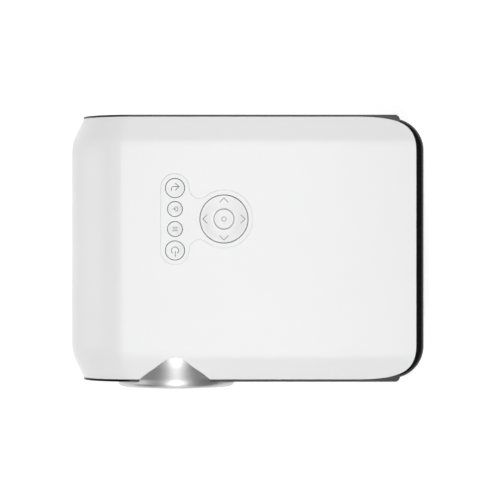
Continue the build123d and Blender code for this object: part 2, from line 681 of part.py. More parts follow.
# ---- optical engine ----
def engine_housing():
    """Open box that holds the light path, with a round lens port and a square lamp port."""
    outer = block(ENGINE_LEFT, ENGINE_RIGHT, ENGINE_FRONT, ENGINE_REAR, ENGINE_BOTTOM, ENGINE_TOP)
    wall = ENGINE_WALL
    inner = block(
        ENGINE_LEFT + wall, ENGINE_RIGHT - wall, ENGINE_FRONT + wall, ENGINE_REAR - wall,
        ENGINE_BOTTOM + wall, ENGINE_TOP + 1,
    )
    housing = outer - inner
    housing -= rod_y(LENS_X, LENS_Z, ENGINE_FRONT - 1, ENGINE_FRONT + 4, LIGHT_PORT)
    housing -= block(-74, -26, ENGINE_REAR - 4, ENGINE_REAR + 1, 24, 68)
    for y in (FIRST_FRESNEL_Y, LCD_Y, SECOND_FRESNEL_Y, CONDENSER_Y):
        for side in (ENGINE_LEFT + wall, ENGINE_RIGHT - wall - 3):
            rail = block(side, side + 3, y - 2.6, y + 2.6, ENGINE_BOTTOM + wall, ENGINE_TOP - 2)
            groove = block(side - 1, side + 4, y - 1.2, y + 1.2, 20, ENGINE_TOP)
            housing += rail - (groove & block(ENGINE_LEFT + wall, ENGINE_RIGHT - wall, -40, 48, 0, 90))
    return housing


def framed_sheet(y, thickness):
    """Upright sheet that stands in a pair of the engine's grooves."""
    left = ENGINE_LEFT + ENGINE_WALL + 0.1
    right = ENGINE_RIGHT - ENGINE_WALL - 0.1
    return block(left, right, y - thickness / 2, y + thickness / 2, 20.2, 67.5)


def lcd_panel():
    """Picture panel: a glass sheet in a thin frame."""
    window = block(-84, -16, LCD_Y - 3, LCD_Y - 0.6, 24, 66)
    return framed_sheet(LCD_Y, 2.2) - window


def fresnel_lenses():
    """Two flat lens sheets, one on each side of the picture panel."""
    return joined([framed_sheet(FIRST_FRESNEL_Y, 2.0), framed_sheet(SECOND_FRESNEL_Y, 2.0)])


def condenser_lens():
    """Thick square lens before the lamp, bevelled on its front edges, with edges in the grooves."""
    lens = framed_sheet(CONDENSER_Y, 2.0) + block(-78, -22, CONDENSER_Y - 6, CONDENSER_Y, 23, 66)
    front = lens.faces().filter_by(Axis.Y).sort_by(Axis.Y)[0]
    return chamfer(front.edges(), 3)


def led_module():
    """Lamp: a copper-backed board with the emitter block and its square reflector."""
    left, right, low, high = LAMP_BOARD
    board_front = SINK_BASE[0] - 3.1
    board = block(left, right, board_front, SINK_BASE[0] - 0.2, low, high)
    mouth = board_front - 11.0
    reflector = block(LENS_X - 16, LENS_X + 16, mouth, board_front, LAMP_Z - 16, LAMP_Z + 16)
    reflector = chamfer(reflector.faces().sort_by(Axis.Y)[0].edges(), 2)
    funnel = loft([
        Plane(origin=(LENS_X, mouth - 0.1, LAMP_Z), z_dir=(0, -1, 0)) * Rectangle(27, 27),
        Plane(origin=(LENS_X, board_front - 0.6, LAMP_Z), z_dir=(0, -1, 0)) * Rectangle(9, 9),
    ])
    return board + (reflector - funnel)


def heat_sink():
    """Finned block behind the lamp; air goes through its fins to the fan."""
    left, right, low, high = SINK
    front, back = SINK_BASE
    sink = block(left, right, front, back, low, high)
    for number in range(SINK_FINS):
        x = left + number * SINK_FIN_PITCH
        sink += block(x, x + SINK_FIN_THICK, back, SINK_BACK, low, high)
    return sink


def engine_lid():
    """Flat lid with a stiffening rib frame on it."""
    lid = block(ENGINE_LEFT, ENGINE_RIGHT, ENGINE_FRONT, ENGINE_REAR, ENGINE_TOP, ENGINE_TOP + 2)
    rib = block(-84, -16, -35, 42, ENGINE_TOP + 2, ENGINE_TOP + 3)
    return lid + (rib - block(-82, -18, -33, 40, ENGINE_TOP + 1, ENGINE_TOP + 4))


# ---- fan ----
def fan_frame():
    """Square fan frame with a round bore, a hub plate and three struts."""
    back = FAN_FRONT + FAN_DEPTH
    frame = block(FAN_X - FAN_HALF, FAN_X + FAN_HALF, FAN_FRONT, back, FAN_Z - FAN_HALF, FAN_Z + FAN_HALF)
    frame -= rod_y(FAN_X, FAN_Z, FAN_FRONT - 1, back + 1, FAN_BORE)
    frame += rod_y(FAN_X, FAN_Z, back - STRUT_THICK, back, FAN_HUB)
    for turn in STRUT_TURNS:
        strut = Rot(0, turn, 0) * block(FAN_HUB - 1, FAN_BORE + 1, back - STRUT_THICK, back, -1.5, 1.5)
        frame += Pos(FAN_X, 0, FAN_Z) * strut
    return frame


def fan_rotor():
    """Hub cup with seven pitched blades."""
    back = FAN_FRONT + FAN_DEPTH - 2.4
    rotor = rod_y(FAN_X, FAN_Z, FAN_FRONT + 1, back, FAN_HUB)
    reach = rod_y(FAN_X, FAN_Z, FAN_FRONT + 1.2, back - 0.2, FAN_BORE - 1.2)
    for number in range(FAN_BLADES):
        turn = Rot(0, number * 360 / FAN_BLADES, 0)
        blade = Pos(20, (FAN_FRONT + 1 + back) / 2, 0) * Rot(BLADE_PITCH, 0, 0) * Box(20, 1.2, 13.5)
        rotor += (Pos(FAN_X, 0, FAN_Z) * turn * blade) & reach
    return rotor


# ---- boards, sockets, speakers ----
def main_board():
    """Main board with its processor's heat spreader, memory and coils."""
    board = block(*MAIN_BOARD, MAIN_BOARD_Z, SOCKET_BOTTOM)
    for x0, x1, y0, y1, height in MAIN_CHIPS:
        board += block(x0, x1, y0, y1, SOCKET_BOTTOM, SOCKET_BOTTOM + height)
    return board


def signal_sockets():
    """Video and data sockets and three round jacks along the rear of the main board."""
    sockets = []
    for x, width, height in SOCKETS:
        shell = block(x - width / 2, x + width / 2, 77, 95, SOCKET_BOTTOM, SOCKET_BOTTOM + height)
        mouth = block(x - width / 2 + 0.6, x + width / 2 - 0.6, 84, 96, SOCKET_BOTTOM + 0.6,
                      SOCKET_BOTTOM + height - 0.6)
        tongue = block(x - width / 3, x + width / 3, 80, 93, SOCKET_BOTTOM + height / 2 - 0.6,
                       SOCKET_BOTTOM + height / 2 + 0.6)
        sockets.append(shell - mouth + tongue)
    for x in JACKS_X:
        body = block(x - JACK_UP, x + JACK_UP, 77, 88, SOCKET_BOTTOM, SOCKET_BOTTOM + 2 * JACK_UP)
        body += rod_y(x, SOCKET_BOTTOM + JACK_UP, 88, 95.4, JACK_RADIUS)
        sockets.append(body - rod_y(x, SOCKET_BOTTOM + JACK_UP, 80, 96, JACK_BORE))
    return joined(sockets)


def power_board():
    """Power board under the drive."""
    return block(*POWER_BOARD, MAIN_BOARD_Z, SOCKET_BOTTOM)


def power_parts():
    """Transformer, two capacitors, a coil and a finned cooler on the power board."""
    low = SOCKET_BOTTOM
    cooler = block(70, 92, -50, -46, low, low + 20)
    for number in range(4):
        x = 71.0 + number * 5.5
        cooler += block(x, x + 1.5, -46, -38, low, low + 20)
    return joined([
        block(24, 52, -50, -24, low, low + 22),
        block(58, 66, -20, -4, low, low + 16),
        rod_z(76, -12, low, low + 24, 8),
        rod_z(36, -8, low, low + 20, 7),
        cooler,
    ])


def power_inlet():
    """Mains inlet: a block with a figure-eight well."""
    half_x, half_z = INLET_HALF
    round_end = PIN_SPACING
    body = block(INLET_X - half_x, INLET_X + half_x, 76, 95.4, INLET_Z - half_z, INLET_Z + half_z)
    well = block(
        INLET_X - PIN_SPACING, INLET_X + PIN_SPACING, INLET_WELL_FRONT, PANEL_REAR,
        INLET_Z - round_end, INLET_Z + round_end,
    )
    for side in (-PIN_SPACING, PIN_SPACING):
        well += rod_y(INLET_X + side, INLET_Z, INLET_WELL_FRONT, PANEL_REAR, round_end)
    return body - well


def inlet_pins():
    """Two round pins in the mains inlet's well."""
    pins = []
    for side in (-PIN_SPACING, PIN_SPACING):
        pins.append(rod_y(INLET_X + side, INLET_Z, INLET_WELL_FRONT, 92, PIN_RADIUS))
    return joined(pins)


def speaker_frames():
    """Frames of the two speakers, each with its magnet behind."""
    frames = []
    half_x, half_z = SPEAKER_HALF
    z = SPEAKER_Z
    for x in SPEAKERS_X:
        plate = block(x - half_x, x + half_x, -83, -81, z - half_z, z + half_z)
        basket = rod_y(x, z, -81, -72, BASKET_RADIUS) - rod_y(x, z, -82, -73, CONE_RADIUS)
        magnet = rod_y(x, z, -72, -66.5, MAGNET_RADIUS)
        frames.append(plate - rod_y(x, z, -84, -80, CONE_RADIUS) + basket + magnet)
    return joined(frames)


def speaker_cones():
    """Paper cones of the two speakers."""
    cones = []
    for x in SPEAKERS_X:
        rim = CONE_RADIUS - 0.2
        outline = [(rim, -82.4), (rim, -74.6), (0, -74.6), (0, -75.6), (5.6, -75.6)]
        cones.append(turned_y(outline, x, SPEAKER_Z))
    return joined(cones)


def remote_window():
    """Round dark window for the remote control's light."""
    return rod_y(WINDOW_X, WINDOW_Z, PANEL_FRONT, PANEL_FRONT + 5.5, WINDOW_RADIUS)


# ---- keypad ----
def keypad_plate():
    """Thin plate let in flush, with round holes for the keys."""
    plate = Pos(0, 0, CASE_TOP - PLATE_THICK + 0.02) * extrude(keypad_outline(0), amount=PLATE_THICK - 0.02)
    return plate - key_holes()


def keypad_board():
    """Board under the keypad, hung from the cover's posts."""
    return block(*KEYPAD_BOARD, KEYPAD_BOARD_Z, KEYPAD_BOARD_Z + BOARD_THICK)


def switch(x, y):
    """Small switch with a well for the key's stem."""
    low = KEYPAD_BOARD_Z + BOARD_THICK
    half = SWITCH_HALF
    well = SWITCH_WELL
    body = block(x - half, x + half, y - half, y + half, low, SWITCH_TOP)
    return body - block(x - well, x + well, y - well, y + well, low + 0.3, SWITCH_TOP + 1)


def key_switches():
    """Switches under the round keys, the OK key and the four sides of the direction pad."""
    places = [(x, y) for x, y, radius in column_keys()] + [(NAV_X, NAV_Y)]
    reach = (NAV_RADIUS + 1) * math.sqrt(0.5)
    for along_x in (-1, 1):
        for along_y in (-1, 1):
            places.append((NAV_X + along_x * reach, NAV_Y + along_y * reach))
    return joined([switch(x, y) for x, y in places])


def round_key(x, y, radius, flange_low):
    """Key cap on an eight-sided flange, with a square stem over its switch."""
    top = CASE_TOP + KEY_PROUD
    key = rod_z(x, y, flange_low + 0.5, top, radius)
    flange = extrude(RegularPolygon(radius + KEY_FLANGE, 8), amount=1.0)
    key += Pos(x, y, flange_low) * flange
    half = KEY_STEM_HALF
    return key + block(x - half, x + half, y - half, y + half, SWITCH_TOP + SEAM, flange_low + 0.5)


def nav_bracket():
    """Two posts on the keypad board that the gimbal ring's pins turn in."""
    posts = []
    low = KEYPAD_BOARD_Z + BOARD_THICK
    for side in (-1, 1):
        x = NAV_X + side * BRACKET_X
        post = block(x - 0.7, x + 0.7, NAV_Y - 1.8, NAV_Y + 1.8, low, NAV_PIVOT_Z + 1.2)
        posts.append(post - rod_x(NAV_Y, NAV_PIVOT_Z, x - 2, x + 2, PIN_HOLE))
    return joined(posts)


def nav_gimbal():
    """Ring between the bracket and the direction pad: one pair of pins along X, one along Y."""
    ring = rod_z(NAV_X, NAV_Y, NAV_PIVOT_Z - 0.6, NAV_PIVOT_Z + 0.6, GIMBAL_RADIUS)
    ring -= rod_z(NAV_X, NAV_Y, NAV_PIVOT_Z - 1, NAV_PIVOT_Z + 1, GIMBAL_BORE)
    for side in (-1, 1):
        near = 11.0 * side
        far = 13.3 * side
        low_x, high_x = sorted((NAV_X + near, NAV_X + far))
        low_y, high_y = sorted((NAV_Y + near, NAV_Y + far))
        ring += rod_x(NAV_Y, NAV_PIVOT_Z, low_x, high_x, GIMBAL_PIN)
        ring += rod_y(NAV_X, NAV_PIVOT_Z, low_y, high_y, GIMBAL_PIN)
    return ring


def nav_ring():
    """Direction pad: a dished ring with a skirt, a stop flange and two bearing lugs inside."""
    top = CASE_TOP + KEY_PROUD
    outline = [
        (NAV_BORE, 84.8), (NAV_BORE, top - NAV_FALL), (NAV_RADIUS, top), (NAV_RADIUS, 83.3),
        (17.8, 83.3), (17.8, 82.3), (14.6, 82.3), (14.6, 84.8),
    ]
    ring = turned_z(outline, NAV_X, NAV_Y)
    for side in (-1, 1):
        near, far = sorted(NAV_Y + side * y for y in PAD_LUG_Y)
        hole_near, hole_far = sorted((NAV_Y + side * 11.5, NAV_Y + side * 13.6))
        lug = block(NAV_X - 1.8, NAV_X + 1.8, near, far, NAV_PIVOT_Z - 1.2, 84.9)
        ring += lug - rod_y(NAV_X, NAV_PIVOT_Z, hole_near, hole_far, PIN_HOLE)
    reach = (NAV_RADIUS - 1) * math.sqrt(0.5)
    for along_x in (-1, 1):
        for along_y in (-1, 1):
            x = NAV_X + along_x * (reach + 0.8)
            y = NAV_Y + along_y * (reach + 0.8)
            ring += block(x - 0.8, x + 0.8, y - 0.8, y + 0.8, SWITCH_TOP + 0.9, 82.5)
    return ring


# ---- disc drive ----
def ear_middle(edge):
    """Y of a mounting ear's hole beside the drive's long edge."""
    return edge + math.copysign(4.5, edge)


def drive_case():
    """Folded sheet pan of the drive, open at the tray's end, with four mounting ears."""
    low = DRIVE_BOTTOM
    case = block(DRIVE_LEFT, DRIVE_RIGHT, DRIVE_FRONT, DRIVE_REAR, low, DRIVE_TOP - SHEET)
    case -= block(
        DRIVE_LEFT + SHEET, DRIVE_RIGHT + 1, DRIVE_FRONT + SHEET, DRIVE_REAR - SHEET, low + SHEET, DRIVE_TOP,
    )
    case -= block(84, 112, -40, -10, low - 1, low + SHEET)
    case -= block(84, 112, 14, 44, low - 1, low + SHEET)
    for x, edge in DRIVE_EARS:
        y = ear_middle(edge)
        near, far = sorted((edge, y + math.copysign(4, edge)))
        case += block(x - 4, x + 4, near, far, low, low + SHEET)
    return case


def drive_cover():
    """Lid of the drive with a raised stamping down its middle."""
    low = DRIVE_TOP - SHEET
    cover = block(DRIVE_LEFT, DRIVE_RIGHT, DRIVE_FRONT, DRIVE_REAR, low, DRIVE_TOP)
    cover += block(4, 110, -34, 38, low + 0.5, DRIVE_TOP + 0.6)
    return cover - block(4.8, 109.2, -33.2, 37.2, low - 1, low + 0.6)


def disc_tray():
    """Tray with the two round disc recesses and the opening for hub and pickup."""
    tray = block(
        TRAY_LEFT, TRAY_RIGHT, DISC_Y - TRAY_HALF_WIDTH, DISC_Y + TRAY_HALF_WIDTH, TRAY_BOTTOM, TRAY_TOP,
    )
    tray -= rod_z(DISC_X, DISC_Y, DISC_FLOOR, TRAY_TOP + 1, DISC_RECESS)
    tray -= rod_z(DISC_X, DISC_Y, DISC_FLOOR - 0.8, TRAY_TOP + 1, SMALL_DISC_RECESS)
    tray -= rod_z(DISC_X, DISC_Y, TRAY_BOTTOM - 1, TRAY_TOP + 1, HUB_OPENING)
    slot = block(0.0, DISC_X, DISC_Y - PICKUP_HALF, DISC_Y + PICKUP_HALF, TRAY_BOTTOM - 1, TRAY_TOP + 1)
    return tray - slot


def tray_bezel():
    """Front of the tray: a long rounded bar with the eject key's slot."""
    left = CASE_RIGHT - TRAY_BEZEL_THICK
    bar = block(
        left, CASE_RIGHT, DISC_Y - TRAY_BEZEL_HALF_WIDTH, DISC_Y + TRAY_BEZEL_HALF_WIDTH,
        TRAY_BEZEL_BOTTOM, TRAY_BEZEL_TOP,
    )
    bar = chamfer(bar.faces().sort_by(Axis.X)[-1].edges(), 0.6)
    half = EJECT_HALF + SEAM
    bar -= block(
        left - 1, CASE_RIGHT + 1, EJECT_Y - half, EJECT_Y + half, EJECT_LOW - SEAM, EJECT_HIGH + SEAM,
    )
    return bar - rod_x(RELEASE_HOLE_Y, 54, left - 1, CASE_RIGHT + 1, 0.8)


def eject_button():
    """Eject key in the tray's front, with a wider foot behind it."""
    left = CASE_RIGHT - TRAY_BEZEL_THICK
    key = block(left - 0.4, CASE_RIGHT, EJECT_Y - EJECT_HALF, EJECT_Y + EJECT_HALF, EJECT_LOW, EJECT_HIGH)
    return key - block(CASE_RIGHT - 0.4, CASE_RIGHT + 1, EJECT_Y - 5, EJECT_Y + 5, 53.6, 54.4)


def slide_rails():
    """Two thin rails that come out half as far as the tray."""
    rails = []
    for inner in (DRIVE_FRONT + SHEET + SEAM, DRIVE_REAR - SHEET - SEAM - RAIL_THICK):
        rail = block(DRIVE_LEFT + 2, 116, inner, inner + RAIL_THICK, RAIL_LOW, RAIL_HIGH)
        rails.append(rail - block(6, 106, inner - 1, inner + 2, 55, 57))
    return joined(rails)


def traverse_plate():
    """Sheet frame under the tray, with turned-up tabs that hold the rods and the lead screw."""
    low = TRAVERSE_LOW
    left = TRAVERSE_LEFT
    right = TRAVERSE_WINDOW_RIGHT
    high = low + SHEET
    plate = block(left, TRAVERSE_RIGHT, SCREW_LINE_Y - 4, TRAVERSE_REAR, low, high)
    plate -= block(left + 3, right - 3, -20, 23, low - 1, high + 1)
    for x in (left, right):
        for side in (-1, 1):
            y = DISC_Y + side * ROD_HALF_PITCH
            plate += block(x, x + SHEET, y - 3, y + 3, low, TRAY_BOTTOM - 0.1)
    plate += block(left, left + SHEET, SCREW_LINE_Y - 3, SCREW_LINE_Y + 3, low, TRAY_BOTTOM - 0.4)
    return plate


def guide_rods():
    """Two ground rods that the pickup sled runs on."""
    rods = []
    for side in (-1, 1):
        y = DISC_Y + side * ROD_HALF_PITCH
        rods.append(rod_x(y, ROD_Z, TRAVERSE_LEFT + SHEET, TRAVERSE_WINDOW_RIGHT, ROD_RADIUS))
    return joined(rods)


def spindle_motor():
    """Flat motor that turns the disc."""
    return rod_z(DISC_X, DISC_Y, TRAVERSE_LOW + SHEET, 55.9, SPINDLE_RADIUS)


def disc_hub():
    """Turntable with the boss that the disc snaps on."""
    outline = [
        (0, 56.2), (9.5, 56.2), (9.5, DISC_SEAT), (HUB_RADIUS, DISC_SEAT), (HUB_RADIUS, 60.6),
        (HUB_RADIUS - 0.8, 61.4), (0, 61.4),
    ]
    return turned_z(outline, DISC_X, DISC_Y)


def sled_motor():
    """Small motor in line with the lead screw, on a saddle of the traverse plate."""
    radius = SLED_MOTOR_RADIUS
    seat = TRAVERSE_LOW + SHEET
    motor = rod_x(SCREW_LINE_Y, SCREW_LINE_Z, 47.6, 60, radius)
    saddle = block(48, 59.6, SCREW_LINE_Y - radius, SCREW_LINE_Y + radius, seat, SCREW_LINE_Z)
    return motor + saddle - block(47, 61, SCREW_LINE_Y - 14, SCREW_LINE_Y + 16, seat - 2.8, seat)


def lead_screw():
    """Screw that drives the sled, plain at its thread's mean size."""
    return rod_x(SCREW_LINE_Y, SCREW_LINE_Z, -2.7, 47.3, LEAD_SCREW_RADIUS)


def pickup_sled():
    """Carriage on the two rods, with the optics block, its round lens and the follower arm."""
    lens_x = DISC_X - SLED_FROM_HUB
    low = SLED_LOW
    high = TRAY_BOTTOM - SEAM
    half = SLED_HALF
    sled = block(lens_x - half, lens_x + half, DISC_Y - 22, DISC_Y + 22, low, high)
    sled -= block(lens_x - 4, lens_x + 4, DISC_Y - 17, DISC_Y - 13, low - 1, high + 1)
    sled -= block(lens_x - 4, lens_x + 4, DISC_Y + 13, DISC_Y + 17, low - 1, high + 1)
    sled += block(lens_x - 5, lens_x + 5, DISC_Y - 10, DISC_Y + 10, low, 57.8)
    sled += rod_z(lens_x, DISC_Y, 57.0, 58.3, 2.4)
    sled += block(lens_x - 3, lens_x + 3, SCREW_LINE_Y + 1.3, DISC_Y - 21, low, low + 1.6)
    for side in (-1, 1):
        y = DISC_Y + side * ROD_HALF_PITCH
        sled -= rod_x(y, ROD_Z, lens_x - 9, lens_x + 9, ROD_RADIUS + 0.08)
    return sled


# ---- feet, inserts and screws ----
def rubber_feet():
    """Four rubber feet let into the underside."""
    feet = []
    for x, y in FEET:
        outline = [(0, 0), (FOOT_RADIUS - 0.8, 0), (FOOT_RADIUS, 1.5), (FOOT_RADIUS, 8.0), (0, 8.0)]
        feet.append(turned_z(outline, x, y))
    return joined(feet)


def threaded_bush(x, y, z0, z1, radius, bore):
    """Brass bush with its bore."""
    return rod_z(x, y, z0, z1, radius) - rod_z(x, y, z0 - 1, z1 + 1, bore)


def foot_insert():
    """Brass bush that the levelling screw turns in."""
    return threaded_bush(LEVEL_X, LEVEL_Y, CASE_BOTTOM + 0.2, 20, 4.5, STUD_RADIUS + 0.06)


def tripod_insert():
    """Brass bush for a quarter-inch tripod screw, at its tapping size."""
    return threaded_bush(0, 0, CASE_BOTTOM, 19, 5.0, 2.55)


def levelling_foot():
    """Screw with a fluted knob under the case."""
    knob = rod_z(LEVEL_X, LEVEL_Y, 2.6, 6.4, KNOB_RADIUS)
    for number in range(KNOB_FLUTES):
        turn = Pos(LEVEL_X, LEVEL_Y, 0) * Rot(0, 0, number * 360 / KNOB_FLUTES)
        knob -= turn * Pos(KNOB_RADIUS + 0.7, 0, 4.5) * Rot(0, 0, 45) * Box(2.2, 2.2, 6)
    return knob + rod_z(LEVEL_X, LEVEL_Y, 6.0, 34, STUD_RADIUS)


def foot_pad():
    """Pad under the levelling screw, which stays still while the knob turns."""
    return rod_z(LEVEL_X, LEVEL_Y, 0.6, 2.3, 7.0)


def case_screw(x, y):
    """Screw that points up, with a hexagon head and its thread's core as an eight-sided rod."""
    head = extrude(RegularPolygon(CASE_SCREW_HEAD, 6), amount=1.8)
    shank = extrude(RegularPolygon(CASE_SCREW_SHANK, 8), amount=21.8)
    return Pos(x, y, CASE_SCREW_Z - 1.8) * (head + shank)


def case_screws():
    """Four long screws that pull the two covers together from below."""
    return joined([case_screw(x, y) for x, y in CASE_SCREWS])


def small_screws():
    """Hexagon heads of the screws in the drive's ears and the two boards."""
    screws = []
    heads = [(x, ear_middle(edge), DRIVE_BOTTOM + SHEET) for x, edge in DRIVE_EARS]
    heads += [(x, y, SOCKET_BOTTOM) for x, y in MAIN_BOARD_POSTS + POWER_BOARD_POSTS]
    for x, y, z in heads:
        screws.append(Pos(x, y, z) * extrude(RegularPolygon(2.8, 6), amount=1.8))
    return joined(screws)


def keypad_cable():
    """Flat cable from the keypad board down between engine and drive to the main board."""
    x = -7.0
    half = 0.15
    down = block(x - half, x + half, 32, 44, SOCKET_BOTTOM + 1, KEYPAD_BOARD_Z)
    foot = block(x - half, 12, 32, 44, SOCKET_BOTTOM + 1, SOCKET_BOTTOM + 1.3)
    plug = block(7, 12, 31, 45, SOCKET_BOTTOM, SOCKET_BOTTOM + 1)
    return down + foot + plug


NODES = {
    "top_cover": top_cover,
    "bottom_cover": bottom_cover,
    "front_panel": front_panel,
    "rear_panel": rear_panel,
    "side_panel": side_panel,
    "keypad_plate": keypad_plate,
    "keypad_board": keypad_board,
    "key_switches": key_switches,
    "return_key": lambda: round_key(COLUMN_X, RETURN_Y, BIG_KEY, KEY_FLANGE_LOW),
    "source_key": lambda: round_key(COLUMN_X, SOURCE_Y, SMALL_KEY, KEY_FLANGE_LOW),
    "menu_key": lambda: round_key(COLUMN_X, MENU_Y, SMALL_KEY, KEY_FLANGE_LOW),
    "power_key": lambda: round_key(COLUMN_X, POWER_Y, BIG_KEY, KEY_FLANGE_LOW),
    "ok_key": lambda: round_key(NAV_X, NAV_Y, OK_KEY, OK_FLANGE_LOW),
    "nav_bracket": nav_bracket,
    "nav_gimbal": nav_gimbal,
    "nav_ring": nav_ring,
    "lens_bezel": lens_bezel,
    "lens_sleeve": lens_sleeve,
    "focus_ring": focus_ring,
    "lens_barrel": lens_barrel,
    "lens_elements": lens_elements,
    "engine_housing": engine_housing,
    "engine_lid": engine_lid,
    "lcd_panel": lcd_panel,
    "fresnel_lenses": fresnel_lenses,
    "condenser_lens": condenser_lens,
    "led_module": led_module,
    "heat_sink": heat_sink,
    "fan_frame": fan_frame,
    "fan_rotor": fan_rotor,
    "main_board": main_board,
    "signal_sockets": signal_sockets,
    "power_board": power_board,
    "power_parts": power_parts,
    "power_inlet": power_inlet,
    "inlet_pins": inlet_pins,
    "speaker_frames": speaker_frames,
    "speaker_cones": speaker_cones,
    "remote_window": remote_window,
    "drive_case": drive_case,
    "drive_cover": drive_cover,
    "disc_tray": disc_tray,
    "tray_bezel": tray_bezel,
    "eject_button": eject_button,
    "slide_rails": slide_rails,
    "traverse_plate": traverse_plate,
    "guide_rods": guide_rods,
    "spindle_motor": spindle_motor,
    "disc_hub": disc_hub,
    "sled_motor": sled_motor,
    "lead_screw": lead_screw,
    "pickup_sled": pickup_sled,
    "rubber_feet": rubber_feet,
    "foot_insert": foot_insert,
    "tripod_insert": tripod_insert,
    "levelling_foot": levelling_foot,
    "foot_pad": foot_pad,
    "case_screws": case_screws,
    "small_screws": small_screws,
    "keypad_cable": keypad_cable,
}

os.makedirs("parts", exist_ok=True)
for node, make in NODES.items():
    export_step(make(), "parts/" + node + ".step")
print(len(NODES), "parts written")
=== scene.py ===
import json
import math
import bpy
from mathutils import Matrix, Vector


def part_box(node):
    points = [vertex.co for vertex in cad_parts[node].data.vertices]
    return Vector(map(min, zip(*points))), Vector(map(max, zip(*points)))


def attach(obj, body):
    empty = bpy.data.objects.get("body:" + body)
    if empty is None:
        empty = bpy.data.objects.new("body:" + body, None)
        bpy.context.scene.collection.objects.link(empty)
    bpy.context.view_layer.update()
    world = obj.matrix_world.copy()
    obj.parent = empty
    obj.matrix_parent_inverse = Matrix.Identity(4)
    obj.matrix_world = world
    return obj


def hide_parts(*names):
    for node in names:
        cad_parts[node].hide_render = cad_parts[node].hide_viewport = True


bl_info = {
    "name": "Projector with a disc player",
    "version": (1, 0, 0),
    "blender": (4, 5, 0),
    "location": "View3D > Sidebar > Projector",
    "description": "Dresses the packed projector with pieces, materials, lamps and a camera",
    "category": "Object",
}

import bmesh
import bpy
from bpy.props import FloatProperty, FloatVectorProperty, PointerProperty
from mathutils import Matrix, Vector

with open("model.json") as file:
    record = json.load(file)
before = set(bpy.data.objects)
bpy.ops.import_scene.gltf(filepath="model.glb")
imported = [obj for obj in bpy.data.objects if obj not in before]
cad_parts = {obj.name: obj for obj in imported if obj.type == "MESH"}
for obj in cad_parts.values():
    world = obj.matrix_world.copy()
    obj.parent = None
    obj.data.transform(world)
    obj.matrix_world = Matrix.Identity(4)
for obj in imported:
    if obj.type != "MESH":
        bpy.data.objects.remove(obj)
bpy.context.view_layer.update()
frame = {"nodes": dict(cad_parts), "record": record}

# ---- places read from the frame, in metres: X to the disc side, Y to the rear, Z up ----
MM = 0.001
UPPER_LOW, UPPER_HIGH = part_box("top_cover")
LOWER_LOW, LOWER_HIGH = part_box("bottom_cover")
CASE_LEFT = UPPER_LOW.x
SLEEVE_RIGHT = UPPER_HIGH.x
SLEEVE_FRONT = UPPER_LOW.y
SLEEVE_REAR = UPPER_HIGH.y
CASE_TOP = UPPER_HIGH.z
CASE_BOTTOM = LOWER_LOW.z
MID_Z = (CASE_TOP + CASE_BOTTOM) / 2
HALF_HEIGHT = (CASE_TOP - CASE_BOTTOM) / 2
BEZEL_LOW, BEZEL_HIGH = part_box("lens_bezel")
LENS_X = (BEZEL_LOW.x + BEZEL_HIGH.x) / 2
LENS_Z = (BEZEL_LOW.z + BEZEL_HIGH.z) / 2
BEZEL_FRONT = BEZEL_LOW.y


def middle_of(node):
    """Middle of a node's box, seen from above."""
    low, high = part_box(node)
    return (low.x + high.x) / 2, (low.y + high.y) / 2


def in_metres(points):
    """Points given in millimetres, in metres."""
    return [tuple(value * MM for value in point) for point in points]


# ---- settings a user would change ----
def length(name, description, default):
    """A length setting in metres."""
    return FloatProperty(
        name=name, description=description, default=default, unit="LENGTH", precision=5
    )


def power(name, description, default):
    """A lamp's power in watts."""
    return FloatProperty(name=name, description=description, default=default, unit="POWER")


def colour(name, description, default):
    """A linear colour setting."""
    return FloatVectorProperty(
        name=name, description=description, default=default, subtype="COLOR", min=0.0, max=1.0
    )


class ProjectorSizes(bpy.types.PropertyGroup):
    """Sizes of the finished pieces that the frame doesn't give."""

    wall: length("Wall", "Thickness of the sleeve", 2.4 * MM)
    lip_length: length("Lip length", "Length of the end stretches that close in", 17.5 * MM)
    lip_drop: length("Lip drop", "How far the top comes down at the sleeve's ends", 4.0 * MM)
    lip_inset: length("Lip inset", "How far the nose moves in at the sleeve's ends", 8.5 * MM)
    lip_bend: length("Lip bend", "Radius of the bend where the sleeve closes in", 30.0 * MM)
    corner_x: length("Corner along X", "Length of the soft corners along X", 42.0 * MM)
    corner_y: length("Corner along Y", "Length of the soft corners along Y", 24.3 * MM)
    rim_round: length("Rim round", "Rounding of the sleeve's rims", 0.45 * MM)
    seam: length("Seam", "Gap between the two covers", 0.3 * MM)
    notch_gap: length("Notch gap", "Gap between the covers and the lens bezel", 0.3 * MM)
    key_gap: length("Key gap", "Gap round each round key", 0.4 * MM)
    pad_gap: length("Pad gap", "Gap round the direction pad", 0.5 * MM)
    key_dish: length("Key dish", "Hollow in the middle of each round key", 0.35 * MM)
    symbol_width: length("Symbol stroke", "Width of the printed strokes", 0.5 * MM)
    small_edge: length("Small edge", "Rounding of the edges of small mouldings", 0.3 * MM)


class ProjectorColours(bpy.types.PropertyGroup):
    """Linear colours of the finishes."""

    shell: colour("Shell", "White moulded sleeve", (0.83, 0.83, 0.835))
    keys: colour("Keys", "White keys and keypad plate", (0.82, 0.82, 0.825))
    ink: colour("Ink", "Printed symbols", (0.14, 0.14, 0.145))
    black: colour("Black", "Polished black panels", (0.006, 0.006, 0.0065))
    satin: colour("Satin black", "Satin black mouldings", (0.012, 0.012, 0.013))
    silver: colour("Silver", "Plated lens bezel", (0.62, 0.62, 0.625))


